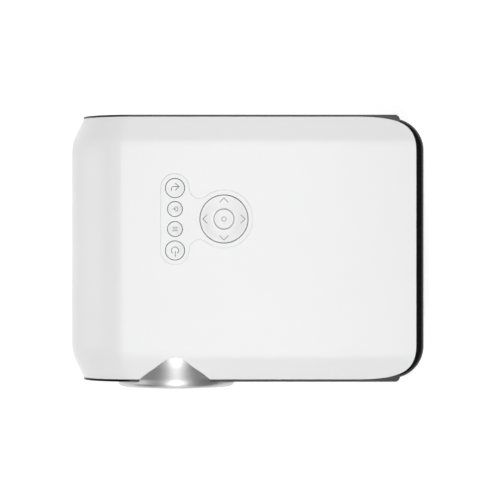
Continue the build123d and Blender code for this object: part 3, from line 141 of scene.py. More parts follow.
class ProjectorStudio(bpy.types.PropertyGroup):
    """Camera and lamps."""

    camera_x: length("Camera X", "Sideways place of the camera", 2.8 * MM)
    camera_y: length("Camera Y", "Place of the camera along the lens axis", 1.0 * MM)
    camera_distance: length("Camera distance", "Height of the camera above the top", 1.561)
    field: length("Field", "Width that the picture shows at the height of the top", 0.350)
    top_power: power("Top lamp", "Power of the long lamp overhead", 13.3)
    rear_power: power("Rear lamp", "Power of the lamp behind", 8.5)
    front_power: power("Front lamp", "Power of the lamp in front", 8.0)
    left_power: power("Left lamp", "Power of the low lamp at the left", 3.5)
    world_strength: FloatProperty(
        name="Room", description="Light of the room itself", default=0.13
    )
    floor_light: FloatProperty(
        name="Floor light", description="Light that the white floor adds", default=0.53
    )


# ---- shader maths ----
class Wire:
    """An output socket of a material; arithmetic on it adds Math nodes."""

    def __init__(self, tree, socket):
        self.tree = tree
        self.socket = socket

    def maths(self, operation, *values):
        node = self.tree.nodes.new("ShaderNodeMath")
        node.operation = operation
        for socket, value in zip(node.inputs, values):
            connect(self.tree, value, socket)
        return Wire(self.tree, node.outputs[0])

    def __add__(self, other):
        return self.maths("ADD", self, other)

    def __radd__(self, other):
        return self.maths("ADD", other, self)

    def __sub__(self, other):
        return self.maths("SUBTRACT", self, other)

    def __rsub__(self, other):
        return self.maths("SUBTRACT", other, self)

    def __mul__(self, other):
        return self.maths("MULTIPLY", self, other)

    def __rmul__(self, other):
        return self.maths("MULTIPLY", other, self)


def connect(tree, value, socket):
    """Links a wire to a socket, or sets the socket to a plain value."""
    if isinstance(value, Wire):
        tree.links.new(value.socket, socket)
    elif value is not None:
        socket.default_value = value


class Shading:
    """Nodes of a material or world under construction."""

    def __init__(self, owner):
        owner.use_nodes = True
        self.tree = owner.node_tree
        self.tree.nodes.clear()

    def add(self, kind, settings=None, inputs=None, output=0):
        """One node: its settings first, then the values or links of its sockets."""
        node = self.tree.nodes.new(kind)
        for key, value in (settings or {}).items():
            if key == "stops":
                set_stops(node.color_ramp, value)
            else:
                setattr(node, key, value)
        for key, value in (inputs or {}).items():
            connect(self.tree, value, node.inputs[key])
        return Wire(self.tree, node.outputs[output]) if node.outputs else None


class Finish(Shading):
    """A material under construction; the frame's plain one of that name is renamed."""

    def __init__(self, name):
        plain = bpy.data.materials.get(name)
        if plain:
            plain.name = name + "_plain"
        self.material = bpy.data.materials.new(name)
        super().__init__(self.material)

    def place(self):
        """Position in the shared frame, in metres."""
        return self.add("ShaderNodeTexCoord", output="Object")

    def noise(self, scale, detail=2.0, vector=None):
        """Noise from 0 to 1 at so many cells a metre."""
        inputs = {"Vector": vector or self.place(), "Scale": scale, "Detail": detail}
        return self.add("ShaderNodeTexNoise", inputs=inputs)

    def levels(self, stops, factor):
        """Grey level from a ramp with stops (place, level)."""
        return self.add("ShaderNodeValToRGB", {"stops": stops}, {"Fac": factor})

    def stretched(self, x, y, z):
        """Position scaled along each axis, for brushed and drawn surfaces."""
        inputs = {"Vector": self.place(), "Scale": (x, y, z)}
        return self.add("ShaderNodeMapping", {"vector_type": "POINT"}, inputs)

    def tone(self, factor, colour_value, low, high):
        """A colour between two brightnesses; a Mix node's colour sockets are 6, 7 and output 2."""
        inputs = {0: factor, 6: opaque(colour_value, low), 7: opaque(colour_value, high)}
        return self.add("ShaderNodeMix", {"data_type": "RGBA"}, inputs, output=2)

    def bump(self, height, distance):
        """Normal from a height, with its depth in metres."""
        inputs = {"Height": height, "Distance": distance}
        return self.add("ShaderNodeBump", inputs=inputs, output="Normal")

    def surface(self, **inputs):
        """The principled surface; keyword names are its sockets' names with underscores."""
        named = {key.replace("_", " "): value for key, value in inputs.items()}
        shader = self.add("ShaderNodeBsdfPrincipled", inputs=named)
        self.add("ShaderNodeOutputMaterial", inputs={"Surface": shader})
        return self.material


def set_stops(ramp, stops):
    """Stops of a colour ramp as (place, grey level)."""
    while len(ramp.elements) < len(stops):
        ramp.elements.new(1.0)
    for element, (place, level) in zip(ramp.elements, stops):
        element.position = place
        element.color = (level, level, level, 1.0)


def opaque(colour_value, factor=1.0):
    """RGBA of a colour setting, darkened by factor."""
    return (colour_value[0] * factor, colour_value[1] * factor, colour_value[2] * factor, 1.0)


# ---- materials ----
GRAIN_SCALE = 2600.0


def moulded_plastic(name, colour_value, roughness, grain_depth):
    """Moulded plastic: faint flow marks, uneven sheen and a fine spark-eroded grain."""
    made = Finish(name)
    flow = made.noise(18.0, 3.0)
    grain = made.noise(GRAIN_SCALE, 1.0) * 0.7 + made.noise(GRAIN_SCALE * 3, 0.0) * 0.3
    return made.surface(
        Base_Color=made.tone(flow, colour_value, 0.985, 1.0),
        Roughness=roughness - 0.03 + made.noise(60.0) * 0.06,
        Normal=made.bump(grain, grain_depth),
    )


def polished_black(name, colour_value):
    """Polished black: deep colour, faint dust and a slight orange peel."""
    made = Finish(name)
    dust = made.levels([(0.55, 0.0), (0.8, 1.0)], made.noise(420.0, 6.0))
    return made.surface(
        Base_Color=made.tone(dust, colour_value, 1.0, 2.2),
        Roughness=0.16 + made.noise(90.0) * 0.08,
        Normal=made.bump(made.noise(260.0, 1.0), 0.02 * MM),
        Specular_IOR_Level=0.2,
    )


def plated_silver(name, colour_value):
    """Plated moulding with a soft satin polish and faint turning marks round the lens."""
    made = Finish(name)
    marks = made.noise(1.0, 2.0, made.stretched(90.0, 5200.0, 90.0))
    mottle = made.noise(35.0, 3.0)
    return made.surface(
        Base_Color=made.tone(mottle, colour_value, 0.96, 1.0),
        Metallic=1.0,
        Roughness=0.41 + marks * 0.06,
        Normal=made.bump(marks, 0.001 * MM),
    )


def brushed_metal(name, base, roughness, scale):
    """Drawn or brushed metal sheet."""
    made = Finish(name)
    lines = made.noise(1.0, 3.0, made.stretched(*scale))
    return made.surface(
        Base_Color=made.tone(lines, base, 0.86, 1.0),
        Metallic=1.0,
        Roughness=roughness + lines * 0.14,
        Normal=made.bump(lines, 0.01 * MM),
    )


def optical_glass(name, tint):
    """Coated glass: clear, with a faint coloured sheen and a few specks of dust."""
    made = Finish(name)
    dust = made.levels([(0.62, 0.0), (0.72, 1.0)], made.noise(900.0, 4.0))
    return made.surface(
        Base_Color=opaque(tint),
        Roughness=0.01 + dust * 0.05,
        Transmission_Weight=1.0,
        IOR=1.5,
        Coat_Weight=0.25,
        Coat_Roughness=0.02,
        Coat_Tint=(0.55, 0.6, 1.0, 1.0),
    )


def circuit_board(name, base):
    """Solder mask over copper tracks and pads, with a little weave in its gloss."""
    made = Finish(name)
    settings = {"voronoi_dimensions": "2D", "distance": "CHEBYCHEV", "feature": "F1"}
    inputs = {"Vector": made.place(), "Scale": 320.0, "Randomness": 1.0}
    cells = made.add("ShaderNodeTexVoronoi", settings, inputs)
    tracks = made.levels([(0.38, 0.0), (0.44, 1.0)], cells)
    return made.surface(
        Base_Color=made.tone(tracks, base, 1.0, 1.9),
        Roughness=0.3 + made.noise(700.0) * 0.15,
        Normal=made.bump(tracks, 0.04 * MM),
    )


def moulded_rubber(name, base):
    """Dull rubber with a fine tooth."""
    made = Finish(name)
    tooth = made.noise(1800.0, 3.0)
    return made.surface(
        Base_Color=made.tone(made.noise(120.0), base, 1.0, 1.5),
        Roughness=0.72 + tooth * 0.15,
        Normal=made.bump(tooth, 0.06 * MM),
    )


def pressed_paper(name, base):
    """Fibrous black paper of a speaker cone."""
    made = Finish(name)
    fibre = made.noise(1400.0, 6.0)
    return made.surface(
        Base_Color=made.tone(fibre, base, 1.0, 2.2),
        Roughness=0.85,
        Normal=made.bump(fibre, 0.1 * MM),
    )


def printed_ink(name, base):
    """Pad-printed ink, slightly uneven at its edges."""
    made = Finish(name)
    cover = made.noise(3000.0, 2.0)
    return made.surface(Base_Color=made.tone(cover, base, 1.0, 1.15), Roughness=0.5 + cover * 0.1)


def build_finishes(colours):
    """Every material, under the name of its slot in the record where it has one."""
    moulded_plastic("white_shell", colours.shell, 0.31, 0.006 * MM)
    moulded_plastic("white_keys", colours.keys, 0.31, 0.004 * MM)
    moulded_plastic("black_satin", colours.satin, 0.42, 0.02 * MM)
    moulded_plastic("barrel_black", colours.satin, 0.55, 0.03 * MM)
    moulded_plastic("grey_plastic", (0.1, 0.1, 0.104), 0.5, 0.02 * MM)
    polished_black("black_gloss", colours.black)
    plated_silver("silver_trim", colours.silver)
    optical_glass("clear_glass", (0.93, 0.95, 1.0))
    circuit_board("board_green", (0.004, 0.045, 0.014))
    brushed_metal("steel", (0.52, 0.52, 0.53), 0.3, (40.0, 2600.0, 2600.0))
    brushed_metal("aluminium", (0.68, 0.68, 0.69), 0.34, (2200.0, 60.0, 60.0))
    brushed_metal("brass", (0.56, 0.38, 0.13), 0.28, (900.0, 900.0, 60.0))
    moulded_rubber("rubber", (0.012, 0.012, 0.012))
    pressed_paper("paper_cone", (0.01, 0.01, 0.01))
    printed_ink("ink", colours.ink)


# ---- mesh tools ----
SAME_POINT = 0.0001 * MM
WELD = 0.002 * MM


def placed(name, data):
    """New object in the scene."""
    item = bpy.data.objects.new(name, data)
    bpy.context.scene.collection.objects.link(item)
    return item


def new_piece(name, vertices, faces):
    """Mesh object made from vertices and faces, with its faces turned outwards."""
    mesh = bpy.data.meshes.new(name)
    mesh.from_pydata([tuple(v) for v in vertices], [], faces)
    work = bmesh.new()
    work.from_mesh(mesh)
    bmesh.ops.remove_doubles(work, verts=work.verts, dist=SAME_POINT)
    bmesh.ops.recalc_face_normals(work, faces=work.faces)
    work.to_mesh(mesh)
    work.free()
    return placed(name, mesh)


def settle(piece):
    """Makes the result of the piece's modifiers its own mesh."""
    bpy.context.view_layer.update()
    graph = bpy.context.evaluated_depsgraph_get()
    mesh = bpy.data.meshes.new_from_object(piece.evaluated_get(graph), depsgraph=graph)
    old = piece.data
    piece.modifiers.clear()
    piece.data = mesh
    bpy.data.meshes.remove(old)
    return piece


def shade(piece, sharp_degrees=40.0):
    """Smooth shading, broken at edges sharper than the angle."""
    piece.data.shade_smooth()
    piece.data.set_sharp_from_angle(angle=math.radians(sharp_degrees))
    return piece


def joined(name, pieces):
    """One object made of several."""
    work = bmesh.new()
    for piece in pieces:
        work.from_mesh(piece.data)
    mesh = bpy.data.meshes.new(name)
    work.to_mesh(mesh)
    work.free()
    for piece in pieces:
        discard(piece)
    return placed(name, mesh)


def discard(piece):
    """Deletes a construction object and its mesh."""
    mesh = piece.data
    bpy.data.objects.remove(piece)
    bpy.data.meshes.remove(mesh)


def carve(piece, cutters, operation="DIFFERENCE"):
    """Cuts the piece with other objects, or keeps what it shares with them, and deletes them."""
    cutter = joined("cutter", cutters) if len(cutters) > 1 else cutters[0]
    modifier = piece.modifiers.new("carve", "BOOLEAN")
    modifier.operation = operation
    modifier.solver = "EXACT"
    modifier.object = cutter
    settle(piece)
    discard(cutter)
    return piece


def ease(piece, width, segments=3, limit_degrees=38.0):
    """Rounds the piece's sharp edges and shades it smoothly; flat faces are merged first."""
    flat = math.radians(0.4)
    work = bmesh.new()
    work.from_mesh(piece.data)
    bmesh.ops.remove_doubles(work, verts=work.verts, dist=WELD)
    bmesh.ops.dissolve_limit(
        work, angle_limit=flat, verts=work.verts, edges=work.edges, delimit={"NORMAL"}
    )
    work.to_mesh(piece.data)
    work.free()
    bevel = piece.modifiers.new("ease", "BEVEL")
    bevel.width = width
    bevel.segments = segments
    bevel.limit_method = "ANGLE"
    bevel.angle_limit = math.radians(limit_degrees)
    settle(piece)
    return weighted(piece)


def weighted(piece):
    """Smooth shading that keeps flat faces flat beside rounded edges."""
    shade(piece, 60.0)
    normals = piece.modifiers.new("flat faces", "WEIGHTED_NORMAL")
    normals.mode = "FACE_AREA"
    normals.keep_sharp = True
    normals.weight = 60
    return settle(piece)


def ring_points(radius, steps):
    """Directions round a circle as (cosine, sine) times a radius."""
    turns = [2 * math.pi * step / steps for step in range(steps)]
    return [(radius * math.cos(turn), radius * math.sin(turn)) for turn in turns]


def ring_faces(rows, steps, closed=True):
    """Faces between rows of points that each go once round."""
    faces = []
    for row in range(rows if closed else rows - 1):
        first = row * steps
        second = (row + 1) % rows * steps
        for step in range(steps):
            after = (step + 1) % steps
            faces.append((first + step, first + after, second + after, second + step))
    return faces


def lathe(name, profile, centre, axis="Z", steps=96, closed=True):
    """Turned piece from a profile of (radius, along) about an axis through centre."""
    vertices = []
    for radius, along in profile:
        for across, up in ring_points(radius, steps):
            if axis == "Y":
                vertices.append((centre[0] + across, along, centre[2] + up))
            else:
                vertices.append((centre[0] + across, centre[1] + up, along))
    return new_piece(name, vertices, ring_faces(len(profile), steps, closed))


def arc(centre, radius, start_degrees, end_degrees, steps=6):
    """Points of an arc in a plane."""
    points = []
    for step in range(steps + 1):
        turn = math.radians(start_degrees + (end_degrees - start_degrees) * step / steps)
        points.append((centre[0] + radius * math.cos(turn), centre[1] + radius * math.sin(turn)))
    return points


def prism_faces(count):
    """Faces of a prism whose two ends have so many corners each."""
    faces = [tuple(range(count)), tuple(range(count, 2 * count))]
    for index in range(count):
        after = (index + 1) % count
        faces.append((index, after, after + count, index + count))
    return faces


def prism(name, outline, low, high):
    """Upright prism over an outline of (x, y) points."""
    vertices = [(x, y, low) for x, y in outline] + [(x, y, high) for x, y in outline]
    return new_piece(name, vertices, prism_faces(len(outline)))


def cylinder(name, x, y, low, high, radius, steps=64):
    """Upright cylinder, used as a cutter."""
    outline = [(x + across, y + up) for across, up in ring_points(radius, steps)]
    return prism(name, outline, low, high)


def box_cutter(name, x0, x1, y0, y1, z0, z1):
    """Rectangular cutter given by its low and high sides."""
    return prism(name, [(x0, y0), (x1, y0), (x1, y1), (x0, y1)], z0, z1)


NODE_SLOTS = {entry["node"]: entry["material_slot"] for entry in frame["record"]["subparts"]}


def dress(piece, body, slot, *nodes):
    """Gives the piece its material, rides it on its body and hides the nodes it stands for."""
    piece.data.materials.clear()
    piece.data.materials.append(bpy.data.materials[slot])
    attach(piece, body)
    if nodes:
        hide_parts(*nodes)
    return piece


def body_of_node(node):
    """Name of the CAD body that a node belongs to."""
    for body, nodes in frame["record"]["behaviour"]["bodies"].items():
        if node in nodes:
            return body
    raise ValueError("no body holds " + node)


def eased_copy(node, width):
    """A node's own form with its edges rounded, which stands for the node."""
    piece = placed(node + "_eased", frame["nodes"][node].data.copy())
    ease(piece, width, 2)
    return dress(piece, body_of_node(node), NODE_SLOTS[node], node)


def coat_node(node):
    """Gives a CAD node that stays in view the material of its slot."""
    shown = frame["nodes"][node]
    if not shown.material_slots:
        shown.data.materials.append(None)
    for place in shown.material_slots:
        place.material = bpy.data.materials[NODE_SLOTS[node]]


# ---- the white sleeve ----
PAST_TOP = 120 * MM
PAST_FLOOR = 12 * MM
CORNER_FULLNESS = 0.76
# outline of the bezel's flare as radius and place along Y, in millimetres, from the back
BEZEL_FLARE = [
    (36.3, -74.4), (36.35, -77.0), (36.7, -79.5), (37.4, -82.4), (39.0, -86.0), (41.0, -89.8),
    (41.4, -93.0),
]
BEZEL_CONE = in_metres(BEZEL_FLARE)
NOTCH_BACK = [(0.0, -70.6), (34.2, -70.6), (36.2, -72.4)]


def turn_in(past_crease, angle, bend):
    """How far a wall has turned in, so far past the crease of a rounded bend."""
    along = past_crease + bend * math.tan(angle / 2)
    if along <= 0:
        return 0.0
    if along < bend * math.sin(angle):
        return bend - math.sqrt(bend ** 2 - along ** 2)
    return past_crease * math.tan(angle)


def sleeve_section(sizes, y):
    """Nose, middle of the half-round and half height of the sleeve's outside at y."""
    past = max(y - (SLEEVE_REAR - sizes.lip_length), SLEEVE_FRONT + sizes.lip_length - y)
    drop = turn_in(past, math.atan(sizes.lip_drop / sizes.lip_length), sizes.lip_bend)
    inset = turn_in(past, math.atan(sizes.lip_inset / sizes.lip_length), sizes.lip_bend)
    half = HALF_HEIGHT - drop
    nose = CASE_LEFT + inset
    return nose, nose + half, half


def sleeve_stations(sizes):
    """Places along Y for the sleeve's rows: close together where it bends."""
    overrun = 2 * MM
    fine = 1.5 * MM
    coarse = 6 * MM
    bend_zone = sizes.lip_length + 9 * MM
    stations = [SLEEVE_FRONT - overrun]
    while stations[-1] < SLEEVE_REAR + overrun:
        y = stations[-1]
        near_end = min(y - SLEEVE_FRONT, SLEEVE_REAR - y) < bend_zone
        stations.append(y + (fine if near_end else coarse))
    return stations


def half_sleeve(sizes, side):
    """Thick half of the sleeve, upper (side 1) or lower (side -1), before it is trimmed."""
    right = SLEEVE_RIGHT + 10 * MM
    flats = 40
    turns = 24
    rows = []
    for y in sleeve_stations(sizes):
        nose, middle, half = sleeve_section(sizes, y)
        loop = []
        for thickness in (0.0, sizes.wall):
            reach = half - thickness
            seam_turn = math.asin(sizes.seam / 2 / reach)
            skin = []
            for step in range(flats):
                x = right + (middle - right) * step / flats
                skin.append((x, y, MID_Z + side * reach))
            for step in range(turns + 1):
                turn = math.pi / 2 + (math.pi / 2 - seam_turn) * step / turns
                x = middle + reach * math.cos(turn)
                skin.append((x, y, MID_Z + side * reach * math.sin(turn)))
            loop += skin if thickness == 0.0 else skin[::-1]
        rows.append(loop)
    count = len(rows[0])
    skin_count = count // 2
    vertices = [point for row in rows for point in row]
    faces = ring_faces(len(rows), count, closed=False)
    for first in (0, (len(rows) - 1) * count):
        for index in range(skin_count - 1):
            inner = count - 1 - index
            faces.append((first + index, first + index + 1, first + inner - 1, first + inner))
    return new_piece("half_sleeve", vertices, faces)


def bezier_points(start, pull_start, pull_end, end, steps=20):
    """Points of a cubic curve, without its end point."""
    points = []
    for step in range(steps):
        t = step / steps
        s = 1 - t
        weights = (s ** 3, 3 * s * s * t, 3 * s * t * t, t ** 3)
        corners = (start, pull_start, pull_end, end)
        points.append(tuple(sum(w * c[axis] for w, c in zip(weights, corners)) for axis in (0, 1)))
    return points


def plan_outline(sizes):
    """Outline of the sleeve from above, with long soft corners on the right."""
    left = CASE_LEFT - 10 * MM
    corner = SLEEVE_RIGHT - sizes.corner_x
    handle_x = corner + CORNER_FULLNESS * sizes.corner_x
    handle_y = (1 - CORNER_FULLNESS) * sizes.corner_y
    front_turn = SLEEVE_FRONT + sizes.corner_y
    rear_turn = SLEEVE_REAR - sizes.corner_y
    outline = [(left, SLEEVE_FRONT)]
    outline += bezier_points(
        (corner, SLEEVE_FRONT), (handle_x, SLEEVE_FRONT),
        (SLEEVE_RIGHT, SLEEVE_FRONT + handle_y), (SLEEVE_RIGHT, front_turn),
    )
    outline.append((SLEEVE_RIGHT, front_turn))
    outline += bezier_points(
        (SLEEVE_RIGHT, rear_turn), (SLEEVE_RIGHT, SLEEVE_REAR - handle_y),
        (handle_x, SLEEVE_REAR), (corner, SLEEVE_REAR),
    )
    return outline + [(corner, SLEEVE_REAR), (left, SLEEVE_REAR)]


def notch_cutter(sizes):
    """Room for the lens bezel through a cover's front lip."""
    gap = sizes.notch_gap
    profile = in_metres(NOTCH_BACK) + [(radius + gap, y) for radius, y in BEZEL_CONE]
    ahead = BEZEL_FRONT - 10 * MM
    profile += [(BEZEL_CONE[-1][0] + gap, ahead), (0.0, ahead)]
    return lathe("notch", profile, (LENS_X, 0, LENS_Z), "Y", 160, closed=False)


COLUMN_ROUND = 9.95 * MM
PAD_ROUND = 20.35 * MM
WAIST_ROUND = 7.3 * MM
POCKET_GAP = 0.1 * MM
PLATE_THICK = 1.2 * MM
KEY_NODES = ("return_key", "source_key", "menu_key", "power_key")
FLANGE = 1.2 * MM
NAV_RADIUS = 16.6 * MM
NAV_BORE = 7.35 * MM


def keypad_outline(grow):
    """Outline of the keypad plate: a column and a disc joined by a waist with two hollow arcs."""
    column_x, rear_y = middle_of("return_key")
    front_y = middle_of("power_key")[1]
    nav_x, nav_y = middle_of("nav_ring")
    column_r = COLUMN_ROUND + grow
    nav_r = PAD_ROUND + grow
    waist_r = WAIST_ROUND - grow
    left = column_x - column_r
    right = column_x + column_r
    waist_x = right + waist_r
    reach_x = nav_x - waist_x
    reach_y = math.sqrt((nav_r + waist_r) ** 2 - reach_x ** 2)
    slope = math.degrees(math.atan2(reach_y, reach_x))
    rear_y = max(rear_y, nav_y + reach_y)
    front_y = min(front_y, nav_y - reach_y)
    outline = arc((column_x, rear_y), column_r, 180, 0, 24)
    outline += arc((waist_x, nav_y + reach_y), waist_r, 180, 360 - slope, 14)
    outline += arc((nav_x, nav_y), nav_r, 180 - slope, -180 + slope, 64)[1:-1]
    outline += arc((waist_x, nav_y - reach_y), waist_r, slope, 180, 14)
    outline += arc((column_x, front_y), column_r, 0, -180, 24)
    return without_repeats(outline)


def without_repeats(points):
    """The outline without points that coincide with the one before."""
    least = 0.01 * MM
    kept = []
    for point in points:
        if not kept or math.dist(point, kept[-1]) > least:
            kept.append(point)
    if math.dist(kept[0], kept[-1]) < least:
        kept.pop()
    return kept


def key_radius(node):
    """Radius of a round key's cap, from the width of its eight-sided flange."""
    low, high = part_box(node)
    return (high.x - low.x) / 2 - FLANGE


def key_holes(sizes):
    """Radius and number of sides of the hole for each round key and for the direction pad."""
    holes = {node: (key_radius(node) + sizes.key_gap, 64) for node in KEY_NODES}
    holes["nav_ring"] = (NAV_RADIUS + sizes.pad_gap, 128)
    return holes


def key_hole_cutters(sizes):
    """Round cutters for the four keys and the direction pad."""
    low = CASE_TOP - 20 * MM
    high = CASE_TOP + 10 * MM
    cutters = []
    for node, (radius, sides) in key_holes(sizes).items():
        x, y = middle_of(node)
        cutters.append(cylinder("hole", x, y, low, high, radius, sides))
    return cutters


def make_upper_cover(sizes):
    """Upper cover with the keypad's pocket, the key holes and the lens notch."""
    cover = half_sleeve(sizes, 1)
    carve(cover, [prism("plan", plan_outline(sizes), 0.0, PAST_TOP)], "INTERSECT")
    carve(cover, [notch_cutter(sizes)])
    pocket_low = CASE_TOP - PLATE_THICK
    carve(cover, [prism("pocket", keypad_outline(POCKET_GAP), pocket_low, PAST_TOP)])
    carve(cover, key_hole_cutters(sizes))
    cover.name = "upper_cover"
    ease(cover, sizes.rim_round, 3, 45.0)
    return dress(cover, "housing", "white_shell", "top_cover")


# vents as the middle's X, the number of slots and their ends along Y, in millimetres
VENTS = [(-44, 8, 54, 84), (52, 9, -44, -14)]
FEET = in_metres([(x, y) for x in (-76, 96) for y in (-62, 74)])
CASE_SCREWS = in_metres([(-104, -50), (-104, 58), (103, -77), (103, 78)])
SEAT_RADIUS = 8.2 * MM
SCREW_HOLE = 2.9 * MM
FOOT_HOLE = 4.5 * MM
TRIPOD_HOLE = 5.05 * MM


def vent_cutters(middle_x, count, front, rear):
    """Row of slots through the floor."""
    pitch = 6 * MM
    half = 1.2 * MM
    start = middle_x * MM - pitch * (count - 1) / 2
    places = [start + pitch * number for number in range(count)]
    return [
        box_cutter("vent", x - half, x + half, front * MM, rear * MM, 0.0, PAST_FLOOR)
        for x in places
    ]


def make_lower_cover(sizes):
    """Lower cover with air slots and the holes for feet, screws and inserts.

    A foot's seat overlaps a screw's hole, so the screws are cut on their own.
    """
    cover = half_sleeve(sizes, -1)
    carve(cover, [prism("plan", plan_outline(sizes), 0.0, PAST_TOP)], "INTERSECT")
    carve(cover, [notch_cutter(sizes)])
    cutters = []
    for vent in VENTS:
        cutters += vent_cutters(*vent)
    for x, y in FEET:
        cutters.append(cylinder("seat", x, y, 0.0, CASE_BOTTOM + 1 * MM, SEAT_RADIUS))
    for node, radius in (("levelling_foot", FOOT_HOLE), ("tripod_insert", TRIPOD_HOLE)):
        cutters.append(cylinder("hole", *middle_of(node), 0.0, PAST_FLOOR, radius, 48))
    carve(cover, cutters)
    screws = [cylinder("screw", x, y, 0.0, PAST_FLOOR, SCREW_HOLE, 32) for x, y in CASE_SCREWS]
    carve(cover, screws)
    cover.name = "lower_cover"
    ease(cover, sizes.rim_round, 2, 45.0)
    return dress(cover, "housing", "white_shell", "bottom_cover")


# ---- keypad ----
KEY_PROUD = 0.5 * MM
KEY_EDGE = 0.35 * MM
FLANGE_THICK = 1 * MM
STEM_REACH = 1.7 * MM
NAV_FALL = 0.9 * MM
NAV_FALL_POWER = 1.4
NAV_ROOF = 84.8 * MM
NAV_SKIRT_LOW = 82.3 * MM
NAV_SKIRT_THICK = 2 * MM
NAV_BORE_EDGE = 0.2 * MM
SMALL_SIGN = 0.85
OK_SIGN = 0.8


def make_keypad_plate(sizes):
    """Thin plate let in flush with the cover."""
    plate = prism("keypad_face", keypad_outline(0.0), CASE_TOP - PLATE_THICK, CASE_TOP)
    carve(plate, key_hole_cutters(sizes))
    ease(plate, sizes.small_edge / 2, 2)
    return dress(plate, "housing", "white_keys", "keypad_plate")


def make_gap_shade_rings(sizes):
    """Dark rings set just under the top of the keypad plate's holes: painted shade that makes the
    gaps round the keys look dark.
    """
    low = CASE_TOP - 2.4 * MM
    high = CASE_TOP - 0.25 * MM
    clear = 0.01 * MM
    lip = 0.22 * MM
    slant = 0.1 * MM
    rings = []
    for node, (hole, _) in key_holes(sizes).items():
        outer = hole - clear
        inner = outer - lip
        # painted shade: a dark ring near the top of each hole stands in for the shade deep in the
        # gap
        profile = [(outer, low), (outer, high), (inner, high - slant), (inner, low)]
        rings.append(lathe("gap_shade_ring", profile, (*middle_of(node), 0)))
    shade_rings = joined("painted_gap_shade", rings)
    shade(shade_rings)
    # the rubber material only gives this painted shade its dark colour
    return dress(shade_rings, "housing", "rubber")


def dished(radius, rim_radius, top, depth):
    """Height of a hollow cap at a distance from its middle."""
    share = min(radius / rim_radius, 1.0)
    return top - depth * (1 - share ** 2)


def flange_profile(radius, low):
    """Stop flange round the foot of a key's wall."""
    high = low + FLANGE_THICK
    return [(radius + FLANGE, low), (radius + FLANGE, high), (radius, high)]


def key_profile(radius, low, dish):
    """Profile of a round key: flange, wall, rounded edge and hollow cap."""
    top = CASE_TOP + KEY_PROUD
    rim = radius - KEY_EDGE
    steps = 8
    profile = [(0.0, low)] + flange_profile(radius, low)
    profile += arc((rim, top - KEY_EDGE), KEY_EDGE, 0, 90, 5)
    for step in range(1, steps + 1):
        across = rim * (1 - step / steps)
        profile.append((across, dished(across, rim, top, dish)))
    return profile


def make_round_key(sizes, node):
    """One round key; below its flange the CAD node's stem isn't shown."""
    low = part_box(node)[0].z + STEM_REACH
    profile = key_profile(key_radius(node), low, sizes.key_dish)
    key = lathe(node + "_cap", profile, (*middle_of(node), 0), steps=72, closed=False)
    shade(key)
    return dress(key, node, "white_keys", node)


def make_nav_ring():
    """Direction pad: its face falls towards the OK key in a shallow hollow."""
    top = CASE_TOP + KEY_PROUD
    rim = NAV_RADIUS - KEY_EDGE
    inside = NAV_RADIUS - NAV_SKIRT_THICK
    profile = [(NAV_BORE, NAV_ROOF), (inside, NAV_ROOF), (inside, NAV_SKIRT_LOW)]
    profile += flange_profile(NAV_RADIUS, NAV_SKIRT_LOW)
    profile += arc((rim, top - KEY_EDGE), KEY_EDGE, 0, 90, 5)
    steps = 12
    for step in range(1, steps + 1):
        across = rim + (NAV_BORE + NAV_BORE_EDGE - rim) * step / steps
        profile.append((across, nav_height(across)))
    profile.append((NAV_BORE, nav_height(NAV_BORE) - NAV_BORE_EDGE))
    ring = lathe("direction_ring", profile, (*middle_of("nav_ring"), 0), steps=144)
    shade(ring)
    return dress(ring, "nav_ring", "white_keys", "nav_ring")


def nav_height(across):
    """Height of the direction pad's face at a distance from its middle."""
    rim = NAV_RADIUS - KEY_EDGE
    share = max(0.0, min(1.0, (rim - across) / (rim - NAV_BORE)))
    return CASE_TOP + KEY_PROUD - NAV_FALL * math.sin(share * math.pi / 2) ** NAV_FALL_POWER


def stroke(points, width, height_at):
    """Flat printed strokes from point to point, with round ends, laid on a surface."""
    thick = 0.03 * MM
    half = width / 2
    pieces = []
    for (x0, y0), (x1, y1) in zip(points, points[1:]):
        turn = math.degrees(math.atan2(y1 - y0, x1 - x0))
        outline = arc((x1, y1), half, turn - 90, turn + 90)
        outline += arc((x0, y0), half, turn + 90, turn + 270)
        vertices = [(x, y, height_at(x, y) + thick) for x, y in outline]
        vertices += [(x, y, height_at(x, y) - thick) for x, y in outline]
        pieces.append(new_piece("stroke", vertices, prism_faces(len(outline))))
    return pieces


def print_symbol(name, body, centre, lines, height_at, width):
    """Printed symbol made of polylines given in millimetres from a key's middle."""
    pieces = []
    for line in lines:
        points = [(centre[0] + x * MM, centre[1] + y * MM) for x, y in line]
        pieces += stroke(points, width, height_at)
    return dress(joined(name, pieces), body, "ink")


# signs as lines of points in millimetres from a key's middle
RETURN_ARROW = [
    [(-2.4, -1.8)] + arc((-1.4, 0.0), 1.0, 180, 90, 4) + [(2.7, 1.0)],
    [(0.3, 3.3), (2.9, 1.0), (0.3, -1.5)],
]
SOURCE_SIGN = [
    [(0.2, 1.4), (1.6, 1.4), (1.6, -1.4), (0.2, -1.4)],
    [(-1.7, 0.0), (0.4, 0.0)],
    [(-0.5, 0.9), (0.4, 0.0), (-0.5, -0.9)],
]
MENU_SIGN = [[(-1.6, level), (1.6, level)] for level in (-1.2, 0.0, 1.2)]
POWER_SIGN = [arc((0.0, -0.1), 2.5, -45, 225, 20), [(0.15, -0.7), (0.15, -4.3)]]
CHEVRON = [(-2.9, 11.8), (0.0, 14.8), (2.9, 11.8)]
OK_RING = [arc((0, 0), 1.55, 0, 360, 24)]


def quarter_turns(line):
    """A line and its three copies, each a quarter turn on."""
    turned = []
    for quarter in range(4):
        spin = Matrix.Rotation(quarter * math.pi / 2, 2)
        turned.append([tuple(spin @ Vector(point)) for point in line])
    return turned


